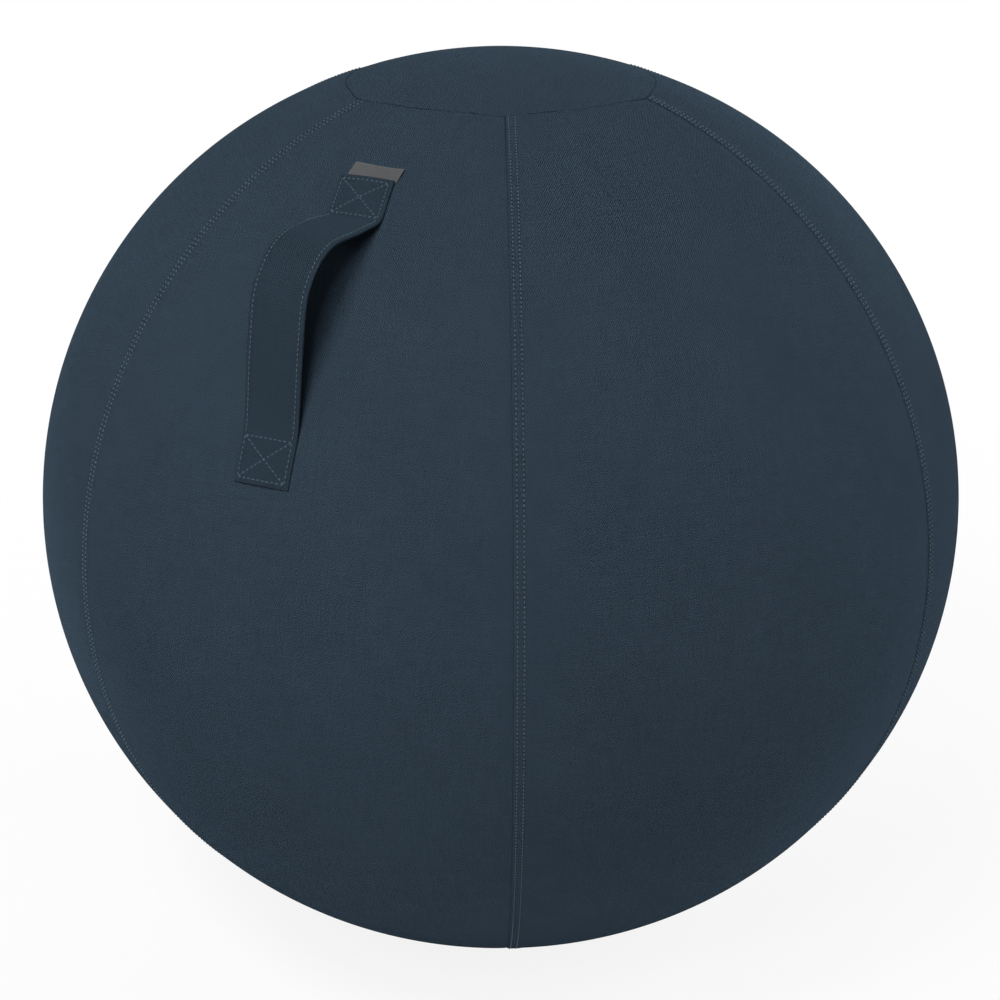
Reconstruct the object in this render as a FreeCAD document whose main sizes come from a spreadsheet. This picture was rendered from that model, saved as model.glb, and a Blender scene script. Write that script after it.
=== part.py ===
import FreeCAD
import Part
import Sketcher
import math
import os
from FreeCAD import Placement, Rotation, Vector

# Covered sitting ball: an inflated inner ball in a sewn cloth cover with a carrying strap and a zip.
# Millimetres, +Z up, origin on the floor under the middle of the ball, strap on the -Y side.
# Each side panel is a piece of a ring surface: one arc whose centre lies a little off the upright axis.

SIZES = [
    ("ball_width", 650, "width over the cover"),
    ("axis_offset", 6.5, "distance from the upright axis to the centre of the panel arcs"),
    ("centre_height", 312, "height of the widest line above the floor"),
    ("crown_angle", 18, "slope at the seam of the top panel, degrees"),
    ("base_angle", 18, "slope at the seam of the base panel, degrees"),
    ("panel_angle", 60, "one side panel's share of the circle, degrees"),
    ("cloth", 1.2, "thickness of the cover"),
    ("seam_gap", 0.4, "width of the groove at a seam"),
    ("ball_standoff", 4, "from the outside of the cover to the inner ball"),
    ("ball_wall", 1, "wall of the inner ball"),
    ("ball_seat_height", 12, "height of the flat on which the inner ball sits"),
    ("ball_seat_angle", 26, "slope where the inner ball leaves its round side, degrees"),
    ("valve_angle", 25, "valve below the widest line, degrees"),
    ("valve_boss_radius", 14, "radius of the thick valve seat"),
    ("valve_boss_depth", 9, "depth of the valve seat"),
    ("valve_bore", 9, "diameter of the valve bore"),
    ("valve_recess_radius", 9.2, "radius of the recess for the head of the plug"),
    ("valve_recess_depth", 1.6, "depth of that recess"),
    ("plug_head_radius", 9, "radius of the head of the plug"),
    ("plug_head", 1.2, "thickness of the head of the plug"),
    ("plug_stem", 8.8, "diameter of the plug's stem"),
    ("plug_length", 11, "length of the plug's stem"),
    ("weight_gap", 0.4, "room around the weight pad"),
    ("weight_slope", 12, "slope at the rim of the weight pad, degrees"),
    ("zip_opening", 12, "distance between the panel edges along the zip"),
    ("zip_slot_reach", 10, "reach of the cut for the zip to both sides of the cover"),
    ("zip_arc", 62, "arc of the rows of teeth, degrees"),
    ("zip_head_arc", 2.6, "arc of the tapes above the teeth, degrees"),
    ("zip_foot_arc", 1.2, "arc of the tapes below the teeth, degrees"),
    ("tape_sink", 1.6, "depth of the tapes under the outside of the cover"),
    ("tape_thickness", 0.6, "thickness of the tapes"),
    ("tape_width", 12, "width of each tape"),
    ("tape_gap", 2.4, "distance between the two tapes"),
    ("tooth_step", 0.72, "arc from tooth to tooth, degrees"),
    ("tooth_count", 86, "teeth in a row"),
    ("tooth_length", 1.6, "length of a tooth along the zip"),
    ("tooth_cross", 4, "length of a tooth across the zip"),
    ("tooth_shift", 0.4, "middle of a tooth beside the middle of the zip"),
    ("tooth_height", 2, "height of a tooth above its tape"),
    ("tooth_root", 0.1, "room between teeth and tape"),
    ("tooth_bead", 0.6, "width of the bead that joins a row of teeth"),
    ("slider_width", 10, "width of the slider"),
    ("slider_tail", 7.4, "width of the slider's narrow end"),
    ("slider_length", 14, "length of the slider"),
    ("slider_plate", 1.2, "thickness of the slider's plates"),
    ("slider_rise", 0.9, "underside of the upper plate above the cover"),
    ("slider_drop", 2.6, "upper side of the lower plate below the outside of the cover"),
    ("slider_floor", 1, "thickness of the lower plate"),
    ("slider_wall", 0.8, "thickness of the slider's side walls"),
    ("slider_post", 1.6, "width of the wedge between the plates"),
    ("slider_post_low", 3.2, "lower end of the wedge above the middle of the slider"),
    ("slider_post_high", 6.2, "upper end of the wedge above the middle of the slider"),
    ("slider_wall_low", 0.5, "lower end of the side walls above the middle of the slider"),
    ("slider_wall_high", 4.5, "upper end of the side walls above the middle of the slider"),
    ("slider_wall_reach", 1, "depth of the side walls under the outside of the cover"),
    ("bridge_width", 1.6, "width of the bridge that holds the pull"),
    ("bridge_length", 8.4, "length of the bridge"),
    ("bridge_height", 3.8, "height of the bridge above the upper plate"),
    ("bridge_bar", 1.2, "thickness of the bridge"),
    ("pull_axis", 1.3, "height of the pull's axis above the upper plate"),
    ("pull_width", 7, "width of the pull"),
    ("pull_length", 26, "length of the pull below its axis"),
    ("pull_plate", 1.4, "thickness of the pull"),
    ("pull_window", 4.6, "length of the pull's window"),
    ("pull_window_width", 2.6, "width of the pull's window"),
    ("pull_hole", 3, "diameter of the hole near the end of the pull"),
    ("pull_hole_up", 4.5, "height of that hole above the end of the pull"),
    ("stop_length", 2.4, "length of a stop along the zip"),
    ("stop_near", 1.1, "inner edge of an upper stop"),
    ("stop_far", 3.3, "outer edge of an upper stop"),
    ("top_stop_arc", 1.5, "lower end of the upper stops above the teeth, degrees"),
    ("low_stop_arc", 0.9, "lower end of the lower stop below the teeth, degrees"),
    ("strap_width", 40, "width of the strap"),
    ("strap_thickness", 2.4, "thickness of the doubled strap"),
    ("strap_lift", 0.15, "room between strap and cover"),
    ("strap_top", 31.9, "upper end of the strap, degrees from the top"),
    ("strap_upper_stitch", 37.6, "last stitch of the upper end, degrees from the top"),
    ("strap_lower_stitch", 65.4, "first stitch of the lower end, degrees from the top"),
    ("strap_bottom", 70.8, "lower end of the strap, degrees from the top"),
    ("stitch_gap", 0.07, "room between the loop and its lower sewn end, degrees"),
    ("strap_upper_bend", 14, "radius of the bend at the upper stitch"),
    ("strap_lower_bend", 30, "radius of the bend at the lower stitch"),
    ("strap_out_slope", 2, "fall of the strap where it stands out, degrees"),
    ("strap_down_slope", 84, "fall of the strap where it hangs down, degrees"),
    ("strap_knee", 42, "radius of the bend between the two"),
    ("strap_out", 37.5, "length of the straight that stands out"),
    ("strap_down", 69.5, "length of the straight that hangs down"),
    ("leg_upper", 20, "straight of the upper leg"),
    ("leg_lower", 32, "straight of the lower leg"),
    ("leg_gap", 0.3, "room between a leg and the grip"),
    ("label_top", 29.75, "upper end of the label, degrees from the top"),
    ("label_width", 38, "width of the label"),
    ("label_thickness", 0.8, "thickness of the folded label"),
]

doc = FreeCAD.newDocument("SittingBall")
sheet = doc.addObject("Spreadsheet::Sheet", "Sizes")
for row, (alias, number, meaning) in enumerate(SIZES, start=1):
    sheet.set(f"A{row}", meaning)
    sheet.set(f"B{row}", str(number))
    sheet.setAlias(f"B{row}", alias)
doc.recompute()

# Sizes that follow from the driving ones, as expressions on the sheet.
PANEL_R = "(Sizes.ball_width / 2 - Sizes.axis_offset)"
CROWN_R = f"({PANEL_R} + Sizes.axis_offset / sin(Sizes.crown_angle * 1 deg))"
CROWN_Z = "(Sizes.centre_height - Sizes.axis_offset / tan(Sizes.crown_angle * 1 deg))"
BASE_R = (
    f"((Sizes.centre_height - {PANEL_R} * cos(Sizes.base_angle * 1 deg))"
    " / (1 - cos(Sizes.base_angle * 1 deg)))"
)
BASE_FLAT = f"(Sizes.axis_offset + ({PANEL_R} - {BASE_R}) * sin(Sizes.base_angle * 1 deg))"
SEAM_TURN = f"(Sizes.seam_gap / {PANEL_R} * 180 / pi * 1 deg)"
BALL_R = f"({PANEL_R} - Sizes.ball_standoff)"
SEAT_DROP = "(Sizes.centre_height - Sizes.ball_seat_height)"
SEAT_R = (
    f"(({SEAT_DROP} - {BALL_R} * cos(Sizes.ball_seat_angle * 1 deg))"
    " / (1 - cos(Sizes.ball_seat_angle * 1 deg)))"
)
SEAT_FLAT = f"(Sizes.axis_offset + ({BALL_R} - {SEAT_R}) * sin(Sizes.ball_seat_angle * 1 deg))"
TAPE_R = f"({PANEL_R} - Sizes.tape_sink)"
STRAP_R = f"({PANEL_R} + Sizes.strap_lift + Sizes.strap_thickness / 2)"

PARTS = {}


def size(expression):
    """The value of an expression on the sheet, as a plain number."""
    found = sheet.evalExpression(expression)
    return float(getattr(found, "Value", found))


def new_body(name):
    return doc.addObject("PartDesign::Body", name)


def origin_feature(body, role):
    return next(item for item in body.Origin.OriginFeatures if item.Role == role)


def new_sketch(body, name, plane, shift=None):
    """An empty sketch on one of the body's own planes, moved along by an offset where one is given."""
    sketch = body.newObject("Sketcher::SketchObject", name)
    sketch.AttachmentSupport = [(origin_feature(body, plane), "")]
    sketch.MapMode = "FlatFace"
    if shift is not None:
        sketch.AttachmentOffset = shift
    return sketch


def bind(sketch, expression, kind, *where):
    """A dimension of the sketch that follows an expression."""
    amount = size(expression)
    if kind == "Angle":
        amount = math.radians(amount)
    index = sketch.addConstraint(Sketcher.Constraint(kind, *where, amount))
    name = f"size_{index}"
    sketch.renameConstraint(index, name)
    sketch.setExpression(f"Constraints.{name}", expression)


def place_point(sketch, geometry, corner, across, up):
    """Put a point of the sketch on its origin, on its upright axis, or at two bound distances."""
    if across is None and up is None:
        sketch.addConstraint(Sketcher.Constraint("Coincident", geometry, corner, -1, 1))
        return
    if across is None:
        sketch.addConstraint(Sketcher.Constraint("PointOnObject", geometry, corner, -2))
    else:
        bind(sketch, across, "DistanceX", -1, 1, geometry, corner)
    if up is None:
        sketch.addConstraint(Sketcher.Constraint("PointOnObject", geometry, corner, -1))
    else:
        bind(sketch, up, "DistanceY", -1, 1, geometry, corner)


def arc_band(body, name, radii, angles, across=None, up=None, plane="XZ_Plane"):
    """A band between two arcs about one centre, closed by two straight ends that point at the centre."""
    sketch = new_sketch(body, name, plane)
    inner, outer = size(radii[0]), size(radii[1])
    start, end = math.radians(size(angles[0])), math.radians(size(angles[1]))
    centre = Vector(size(across) if across else 0, size(up) if up else 0, 0)

    def point(radius, angle):
        return centre + Vector(radius * math.cos(angle), radius * math.sin(angle), 0)

    normal = Vector(0, 0, 1)
    far = sketch.addGeometry(Part.ArcOfCircle(Part.Circle(centre, normal, outer), start, end))
    near = sketch.addGeometry(Part.ArcOfCircle(Part.Circle(centre, normal, inner), start, end))
    first = sketch.addGeometry(Part.LineSegment(point(inner, start), point(outer, start)))
    last = sketch.addGeometry(Part.LineSegment(point(inner, end), point(outer, end)))
    sketch.addConstraint(
        [
            Sketcher.Constraint("Coincident", near, 3, far, 3),
            Sketcher.Constraint("Coincident", first, 1, near, 1),
            Sketcher.Constraint("Coincident", first, 2, far, 1),
            Sketcher.Constraint("Coincident", last, 1, near, 2),
            Sketcher.Constraint("Coincident", last, 2, far, 2),
            Sketcher.Constraint("PointOnObject", far, 3, first),
            Sketcher.Constraint("PointOnObject", far, 3, last),
        ]
    )
    place_point(sketch, far, 3, across, up)
    bind(sketch, radii[0], "Radius", near)
    bind(sketch, radii[1], "Radius", far)
    bind(sketch, angles[0], "Angle", first)
    bind(sketch, angles[1], "Angle", last)
    return sketch


def strip(body, name, across, up, heading, length, thickness, plane="XZ_Plane"):
    """A straight strip whose middle line starts at a point and runs on at a heading."""
    sketch = new_sketch(body, name, plane)
    corner_across = f"({across} + {thickness} / 2 * sin({heading}))"
    corner_up = f"({up} - {thickness} / 2 * cos({heading}))"
    turn = math.radians(size(heading))
    along = Vector(math.cos(turn), math.sin(turn), 0) * size(length)
    aside = Vector(-math.sin(turn), math.cos(turn), 0) * size(thickness)
    corner = Vector(size(corner_across), size(corner_up), 0)
    corners = [corner, corner + along, corner + along + aside, corner + aside]
    sides = [
        sketch.addGeometry(Part.LineSegment(corners[i], corners[(i + 1) % 4])) for i in range(4)
    ]
    for i in range(4):
        sketch.addConstraint(Sketcher.Constraint("Coincident", sides[i], 2, sides[(i + 1) % 4], 1))
    sketch.addConstraint(
        [
            Sketcher.Constraint("Perpendicular", sides[0], sides[1]),
            Sketcher.Constraint("Parallel", sides[0], sides[2]),
            Sketcher.Constraint("Parallel", sides[1], sides[3]),
        ]
    )
    bind(sketch, corner_across, "DistanceX", -1, 1, sides[0], 1)
    bind(sketch, corner_up, "DistanceY", -1, 1, sides[0], 1)
    bind(sketch, heading, "Angle", sides[0])
    bind(sketch, length, "Distance", sides[0])
    bind(sketch, thickness, "Distance", sides[1])
    return sketch


def polygon(body, name, corners, plane, shift=None):
    """A closed outline with straight sides, each corner at two bound distances from the origin."""
    sketch = new_sketch(body, name, plane, shift)
    places = [Vector(size(across), size(up), 0) for across, up in corners]
    count = len(places)
    sides = [
        sketch.addGeometry(Part.LineSegment(places[i], places[(i + 1) % count])) for i in range(count)
    ]
    for i in range(count):
        sketch.addConstraint(
            Sketcher.Constraint("Coincident", sides[i], 2, sides[(i + 1) % count], 1)
        )
        bind(sketch, corners[i][0], "DistanceX", -1, 1, sides[i], 1)
        bind(sketch, corners[i][1], "DistanceY", -1, 1, sides[i], 1)
    return sketch


def rectangle(body, name, across, up, plane, shift=None):
    corners = [(across[0], up[0]), (across[1], up[0]), (across[1], up[1]), (across[0], up[1])]
    return polygon(body, name, corners, plane, shift)


def circle(body, name, radius, plane, shift=None, across=None, up=None):
    sketch = new_sketch(body, name, plane, shift)
    middle = Vector(size(across) if across else 0, size(up) if up else 0, 0)
    ring = sketch.addGeometry(Part.Circle(middle, Vector(0, 0, 1), size(radius)))
    place_point(sketch, ring, 3, across, up)
    bind(sketch, radius, "Radius", ring)
    return sketch


def revolve(body, sketch, axis, angle, midplane=False, reverse=False):
    feature = body.newObject("PartDesign::Revolution", f"{sketch.Name}_turned")
    feature.Profile = sketch
    feature.ReferenceAxis = (origin_feature(body, axis), [""])
    feature.Midplane = midplane
    feature.Reversed = reverse
    feature.setExpression("Angle", angle)
    return feature


def pad(body, sketch, length, midplane=False, reverse=False):
    feature = body.newObject("PartDesign::Pad", f"{sketch.Name}_pad")
    feature.Profile = sketch
    feature.Midplane = midplane
    feature.Reversed = reverse
    feature.setExpression("Length", length)
    return feature


def pocket(body, sketch, length, midplane=False, reverse=False):
    """Cut a pocket, and make sure that it really takes something away."""
    doc.recompute()
    before = body.Shape.Volume
    feature = body.newObject("PartDesign::Pocket", f"{sketch.Name}_cut")
    feature.Profile = sketch
    feature.Midplane = midplane
    feature.Reversed = reverse
    feature.setExpression("Length", length)
    doc.recompute()
    if body.Shape.Volume >= before:
        raise ValueError(f"{feature.Name} cuts nothing")
    return feature


def keep(item, name, placement=None):
    """Name a finished piece, set it in its place and list it for writing."""
    item.Label = name
    if placement is not None:
        item.Placement = placement
    PARTS[name] = item


def turned(degrees):
    return Placement(Vector(0, 0, 0), Rotation(Vector(0, 0, 1), degrees))


def at_arc_centre(degrees):
    """A place whose origin is the centre of the panel arc in the upright plane at this angle."""
    return turned(degrees) * Placement(
        Vector(size("Sizes.axis_offset"), 0, size("Sizes.centre_height")), Rotation()
    )


def deg(alias):
    return f"(Sizes.{alias} * 1 deg)"


FULL_TURN = "360 deg"
ZIP_TURN = 120
STRAP_TURN = -90

# Side panels: six bands turned about the upright axis, with a recess for the zip in the two beside it.
PANEL_TURN = f"({deg('panel_angle')} - {SEAM_TURN})"


def side_panel(name, start, zip_side=0):
    """One side panel from its start angle on, or, with the zip at its far edge, back from that edge."""
    backwards = zip_side < 0
    body = new_body(f"{name}_body")
    band = arc_band(
        body,
        f"{name}_band",
        (f"({PANEL_R} - Sizes.cloth)", PANEL_R),
        (f"({deg('base_angle')} - 90 deg + {SEAM_TURN})", f"(90 deg - {deg('crown_angle')} - {SEAM_TURN})"),
        across="Sizes.axis_offset",
        up="Sizes.centre_height",
    )
    revolve(body, band, "Z_Axis", PANEL_TURN, reverse=backwards)
    if zip_side:
        slot = arc_band(
            body,
            f"{name}_zip_slot",
            (f"({PANEL_R} - Sizes.zip_slot_reach)", f"({PANEL_R} + Sizes.zip_slot_reach)"),
            (f"(0 deg - {deg('zip_arc')} - {deg('zip_foot_arc')})", deg("zip_head_arc")),
            across="Sizes.axis_offset",
            up="Sizes.centre_height",
        )
        pocket(body, slot, "Sizes.zip_opening / 2", reverse=backwards)
    half_gap = size(SEAM_TURN) / 2
    keep(body, name, turned(start - half_gap if backwards else start + half_gap))


side_panel("side_panel_front", -120)
side_panel("side_panel_front_right", -60)
side_panel("side_panel_rear_right", 0)
side_panel("side_panel_rear", ZIP_TURN, zip_side=-1)
side_panel("side_panel_rear_left", ZIP_TURN, zip_side=1)
side_panel("side_panel_front_left", 180)

# Top panel: a cap whose arc carries on from the side panels without a corner.
top = new_body("top_panel_body")
cap = arc_band(
    top,
    "top_cap",
    (f"({CROWN_R} - Sizes.cloth)", CROWN_R),
    (f"(90 deg - {deg('crown_angle')})", "90 deg"),
    up=CROWN_Z,
)
revolve(top, cap, "Z_Axis", FULL_TURN)
keep(top, "top_panel")

# Base panel: a flat disc with a rim that rises in an arc to the lower ends of the side panels.
base = new_body("base_panel_body")
base_disc = circle(base, "base_disc", BASE_FLAT, "XY_Plane")
pad(base, base_disc, "Sizes.cloth")
base_rim = arc_band(
    base,
    "base_rim",
    (f"({BASE_R} - Sizes.cloth)", BASE_R),
    ("-90 deg", f"({deg('base_angle')} - 90 deg)"),
    across=BASE_FLAT,
    up=BASE_R,
)
revolve(base, base_rim, "Z_Axis", FULL_TURN)
keep(base, "base_panel")

# Weight pad: lies in the dish of the base panel, flat on top where the inner ball sits on it.
WEIGHT_LOW = "(Sizes.cloth + Sizes.weight_gap)"
WEIGHT_TOP = "(Sizes.ball_seat_height - Sizes.weight_gap)"
WEIGHT_ARC = f"({BASE_R} - {WEIGHT_LOW})"
WEIGHT_RIM = f"({BASE_FLAT} + {WEIGHT_ARC} * sin({deg('weight_slope')}))"
WEIGHT_RIM_UP = f"({BASE_R} - {WEIGHT_ARC} * cos({deg('weight_slope')}))"
weight = new_body("base_weight_body")
weight_profile = polygon(
    weight,
    "weight_profile",
    [
        ("0", WEIGHT_LOW),
        (BASE_FLAT, WEIGHT_LOW),
        (f"({BASE_FLAT} + {WEIGHT_ARC} * sin({deg('weight_slope')} / 2))",
         f"({BASE_R} - {WEIGHT_ARC} * cos({deg('weight_slope')} / 2))"),
        (WEIGHT_RIM, WEIGHT_RIM_UP),
        (f"({WEIGHT_RIM} + 1.5)", f"(({WEIGHT_RIM_UP} + {WEIGHT_TOP}) / 2)"),
        (f"({WEIGHT_RIM} - 3)", WEIGHT_TOP),
        ("0", WEIGHT_TOP),
    ],
    "XZ_Plane",
)
revolve(weight, weight_profile, "Z_Axis", FULL_TURN)
keep(weight, "base_weight")

# Inner ball: crown, round side, seat arc and seat disc, one wall thick, with a thick valve seat inside.
BALL_CROWN_R = f"({CROWN_R} - Sizes.ball_standoff)"
ball = new_body("inner_ball_body")
ball_side = arc_band(
    ball,
    "ball_side",
    (f"({BALL_R} - Sizes.ball_wall)", BALL_R),
    (f"({deg('ball_seat_angle')} - 90 deg)", f"(90 deg - {deg('crown_angle')})"),
    across="Sizes.axis_offset",
    up="Sizes.centre_height",
)
revolve(ball, ball_side, "Z_Axis", FULL_TURN)
ball_crown = arc_band(
    ball,
    "ball_crown",
    (f"({BALL_CROWN_R} - Sizes.ball_wall)", BALL_CROWN_R),
    (f"(90 deg - {deg('crown_angle')})", "90 deg"),
    up=CROWN_Z,
)
revolve(ball, ball_crown, "Z_Axis", FULL_TURN)
ball_seat = arc_band(
    ball,
    "ball_seat",
    (f"({SEAT_R} - Sizes.ball_wall)", SEAT_R),
    ("-90 deg", f"({deg('ball_seat_angle')} - 90 deg)"),
    across=SEAT_FLAT,
    up=f"({SEAT_R} + Sizes.ball_seat_height)",
)
revolve(ball, ball_seat, "Z_Axis", FULL_TURN)
seat_level = Placement(Vector(0, 0, size("Sizes.ball_seat_height")), Rotation())
pad(ball, circle(ball, "ball_seat_disc", SEAT_FLAT, "XY_Plane", seat_level), "Sizes.ball_wall")


def valve_plane(depth):
    """A plane square to the valve, this far under the outside of the inner ball."""
    drop = math.radians(size("Sizes.valve_angle"))
    outward = Vector(math.cos(drop), 0, -math.sin(drop))
    centre = Vector(size("Sizes.axis_offset"), 0, size("Sizes.centre_height"))
    return Placement(
        centre + outward * (size(BALL_R) - depth), Rotation(Vector(0, 0, 1), outward)
    )


HALF_WALL = "(Sizes.ball_wall / 2)"
boss = circle(
    ball, "valve_boss", "Sizes.valve_boss_radius", "XY_Plane", valve_plane(size("Sizes.valve_boss_depth"))
)
pad(ball, boss, f"(Sizes.valve_boss_depth - {HALF_WALL})")
recess = circle(ball, "valve_recess", "Sizes.valve_recess_radius", "XY_Plane", valve_plane(-1))
pocket(ball, recess, "Sizes.valve_recess_depth + 1")
bore = circle(ball, "valve_hole", "Sizes.valve_bore / 2", "XY_Plane", valve_plane(-1))
pocket(ball, bore, "Sizes.valve_boss_depth + 3")
keep(ball, "inner_ball", turned(ZIP_TURN))

# Valve plug: a flat head in the recess and a stem in the bore.
plug = new_body("valve_plug_body")
plug_head = circle(plug, "plug_head", "Sizes.plug_head_radius", "XY_Plane")
pad(plug, plug_head, "Sizes.plug_head")
plug_stem = circle(plug, "plug_stem", "Sizes.plug_stem / 2", "XY_Plane")
pad(plug, plug_stem, "Sizes.plug_length", reverse=True)
plug_depth = size("Sizes.valve_recess_depth") - 0.2
keep(plug, "valve_plug", turned(ZIP_TURN) * valve_plane(plug_depth))

# Zip: everything turns about the centre of the panel arc, square to the upright plane of the zip.
ZIP_PLACE = at_arc_centre(ZIP_TURN)
TEETH_LOW = f"({TAPE_R} + Sizes.tooth_root)"
ZIP_DOWN = f"({deg('zip_arc')} + {deg('zip_foot_arc')})"


def tape(name, side):
    """A tape from above the teeth to below them, on one side of the zip."""
    body = new_body(f"{name}_body")
    for part, arc, upwards in (("down", ZIP_DOWN, False), ("up", deg("zip_head_arc"), True)):
        near = f"({side} * Sizes.tape_gap / 2)"
        far = f"({side} * (Sizes.tape_gap / 2 + Sizes.tape_width))"
        outline = rectangle(
            body,
            f"{name}_{part}",
            (f"({TAPE_R} - Sizes.tape_thickness)", TAPE_R),
            (near, far),
            "XY_Plane",
        )
        revolve(body, outline, "Y_Axis", arc, reverse=upwards)
    keep(body, name, ZIP_PLACE)


def teeth(name, side):
    """A row of teeth on a bead, set half a step from the row on the other side."""
    body = new_body(f"{name}_body")
    near = f"({side} * (Sizes.tooth_shift + Sizes.tooth_cross / 2 - Sizes.tooth_bead))"
    far = f"({side} * (Sizes.tooth_shift + Sizes.tooth_cross / 2))"
    bead = rectangle(
        body,
        f"{name}_bead",
        (TEETH_LOW, f"({TEETH_LOW} + Sizes.tooth_height * 0.6)"),
        (near, far),
        "XY_Plane",
    )
    revolve(body, bead, "Y_Axis", deg("zip_arc"))
    aside = Placement(Vector(0, 0, -side * size("Sizes.tooth_shift")), Rotation())
    tooth = rectangle(
        body,
        f"{name}_tooth",
        (TEETH_LOW, f"({TEETH_LOW} + Sizes.tooth_height)"),
        ("-(Sizes.tooth_length)", "(Sizes.tooth_length * 0)"),
        "XZ_Plane",
        aside,
    )
    first = pad(body, tooth, "Sizes.tooth_cross", midplane=True)
    row_of_teeth = body.newObject("PartDesign::PolarPattern", f"{name}_row")
    row_of_teeth.Originals = [first]
    row_of_teeth.Axis = (origin_feature(body, "Y_Axis"), [""])
    row_of_teeth.Refine = False
    row_of_teeth.setExpression("Angle", f"{deg('tooth_step')} * (Sizes.tooth_count - 1)")
    row_of_teeth.setExpression("Occurrences", "Sizes.tooth_count")
    body.Tip = row_of_teeth
    lag = size("Sizes.tooth_step") / 2 if side < 0 else 0
    keep(body, name, ZIP_PLACE * Placement(Vector(0, 0, 0), Rotation(Vector(0, 1, 0), lag)))


for side_name, side_sign in (("left", 1), ("right", -1)):
    tape(f"zip_tape_{side_name}", side_sign)
    teeth(f"zip_teeth_{side_name}", side_sign)

# Slider: two plates joined by a wedge, side walls that guide the teeth, and a bridge for the pull.
PLATE_LOW = f"({PANEL_R} + Sizes.slider_rise)"
PLATE_TOP = f"({PLATE_LOW} + Sizes.slider_plate)"
FLOOR_TOP = f"({PANEL_R} - Sizes.slider_drop)"
slider = new_body("zip_slider_body")


def slider_outline(name, level):
    """The slider's outline seen from outside: broad above, narrow below."""
    broad, narrow = "(Sizes.slider_width / 2)", "(Sizes.slider_tail / 2)"
    top_end, low_end = "(Sizes.slider_length / 2)", "(Sizes.slider_length / -2)"
    half = [(narrow, low_end), (broad, "0.5"), (broad, f"({top_end} - 2)"), (f"({broad} - 1.6)", top_end)]
    other_half = [(f"(0 - {across})", up) for across, up in reversed(half)]
    lift = Placement(Vector(0, 0, size(level)), Rotation())
    return polygon(slider, name, half + other_half, "YZ_Plane", lift)


pad(slider, slider_outline("slider_top", PLATE_LOW), "Sizes.slider_plate")
post = rectangle(
    slider,
    "slider_wedge",
    (f"({FLOOR_TOP} - Sizes.slider_floor / 2)", f"({PLATE_LOW} + Sizes.slider_plate / 2)"),
    ("Sizes.slider_post_low", "Sizes.slider_post_high"),
    "XZ_Plane",
)
pad(slider, post, "Sizes.slider_post", midplane=True)
lower = slider_outline("slider_bottom", f"({FLOOR_TOP} - Sizes.slider_floor)")
pad(slider, lower, "Sizes.slider_floor")
for wall_name, wall_sign in (("left", 1), ("right", -1)):
    inner_edge = f"({wall_sign} * (Sizes.slider_width / 2 - Sizes.slider_wall))"
    outer_edge = f"({wall_sign} * Sizes.slider_width / 2)"
    wall = rectangle(
        slider,
        f"slider_wall_{wall_name}",
        (inner_edge, outer_edge),
        ("Sizes.slider_wall_low", "Sizes.slider_wall_high"),
        "YZ_Plane",
        Placement(Vector(0, 0, size(f"{PANEL_R} - Sizes.slider_wall_reach")), Rotation()),
    )
    pad(slider, wall, "Sizes.slider_wall_reach + Sizes.slider_rise + Sizes.slider_plate / 2")
bridge = rectangle(
    slider,
    "slider_bridge",
    (f"({PLATE_TOP} - Sizes.slider_plate / 2)", f"({PLATE_TOP} + Sizes.bridge_height)"),
    ("(Sizes.bridge_length / -2)", "(Sizes.bridge_length / 2)"),
    "XZ_Plane",
)
pad(slider, bridge, "Sizes.bridge_width", midplane=True)
arch = rectangle(
    slider,
    "slider_arch",
    (PLATE_TOP, f"({PLATE_TOP} + Sizes.bridge_height - Sizes.bridge_bar)"),
    ("(Sizes.bridge_bar - Sizes.bridge_length / 2)", "(Sizes.bridge_length / 2 - Sizes.bridge_bar)"),
    "XZ_Plane",
)
pocket(slider, arch, "Sizes.bridge_width * 2", midplane=True)
keep(slider, "zip_slider", ZIP_PLACE)

# Pull: a tab that hangs from the bridge by the bar at the top of its window.
PULL_LOW = "(0 - Sizes.pull_length)"
HALF_BAR = "(Sizes.pull_plate / 2)"
pull = new_body("zip_pull_body")
half_tab = [
    ("2.6", HALF_BAR),
    ("(Sizes.pull_width / 2 - 0.4)", "-1.2"),
    ("(Sizes.pull_width / 2)", f"({PULL_LOW} + 2)"),
    ("(Sizes.pull_width / 2 - 1.6)", PULL_LOW),
]
tab = polygon(
    pull,
    "pull_tab",
    half_tab + [(f"(0 - {across})", up) for across, up in reversed(half_tab)],
    "YZ_Plane",
)
pad(pull, tab, "Sizes.pull_plate", midplane=True)
window = rectangle(
    pull,
    "pull_window",
    ("(Sizes.pull_window_width / -2)", "(Sizes.pull_window_width / 2)"),
    (f"(0 - {HALF_BAR} - Sizes.pull_window)", f"(0 - {HALF_BAR})"),
    "YZ_Plane",
)
pocket(pull, window, "Sizes.pull_plate * 2", midplane=True)
eye = circle(pull, "pull_eye", "Sizes.pull_hole / 2", "YZ_Plane", up=f"({PULL_LOW} + Sizes.pull_hole_up)")
pocket(pull, eye, "Sizes.pull_plate * 2", midplane=True)
pull_lift = Placement(Vector(size(f"{PLATE_TOP} + Sizes.pull_axis"), 0, 0), Rotation())
keep(pull, "zip_pull", ZIP_PLACE * pull_lift)


# Stops: two small clips above the slider, and one clip across both tapes below the teeth.
def stop(name, low, high, arc):
    """A clip between two distances from the middle of the zip, its lower end at an arc below the slider."""
    body = new_body(f"{name}_body")
    clip = rectangle(
        body,
        f"{name}_clip",
        (TEETH_LOW, f"({TEETH_LOW} + Sizes.tooth_height)"),
        ("(Sizes.stop_length * 0)", "Sizes.stop_length"),
        "XZ_Plane",
        Placement(Vector(0, 0, -size(f"({low} + {high}) / 2")), Rotation()),
    )
    pad(body, clip, f"({high} - {low})", midplane=True)
    tilt = Placement(Vector(0, 0, 0), Rotation(Vector(0, 1, 0), size(arc)))
    keep(body, name, ZIP_PLACE * tilt)


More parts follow.
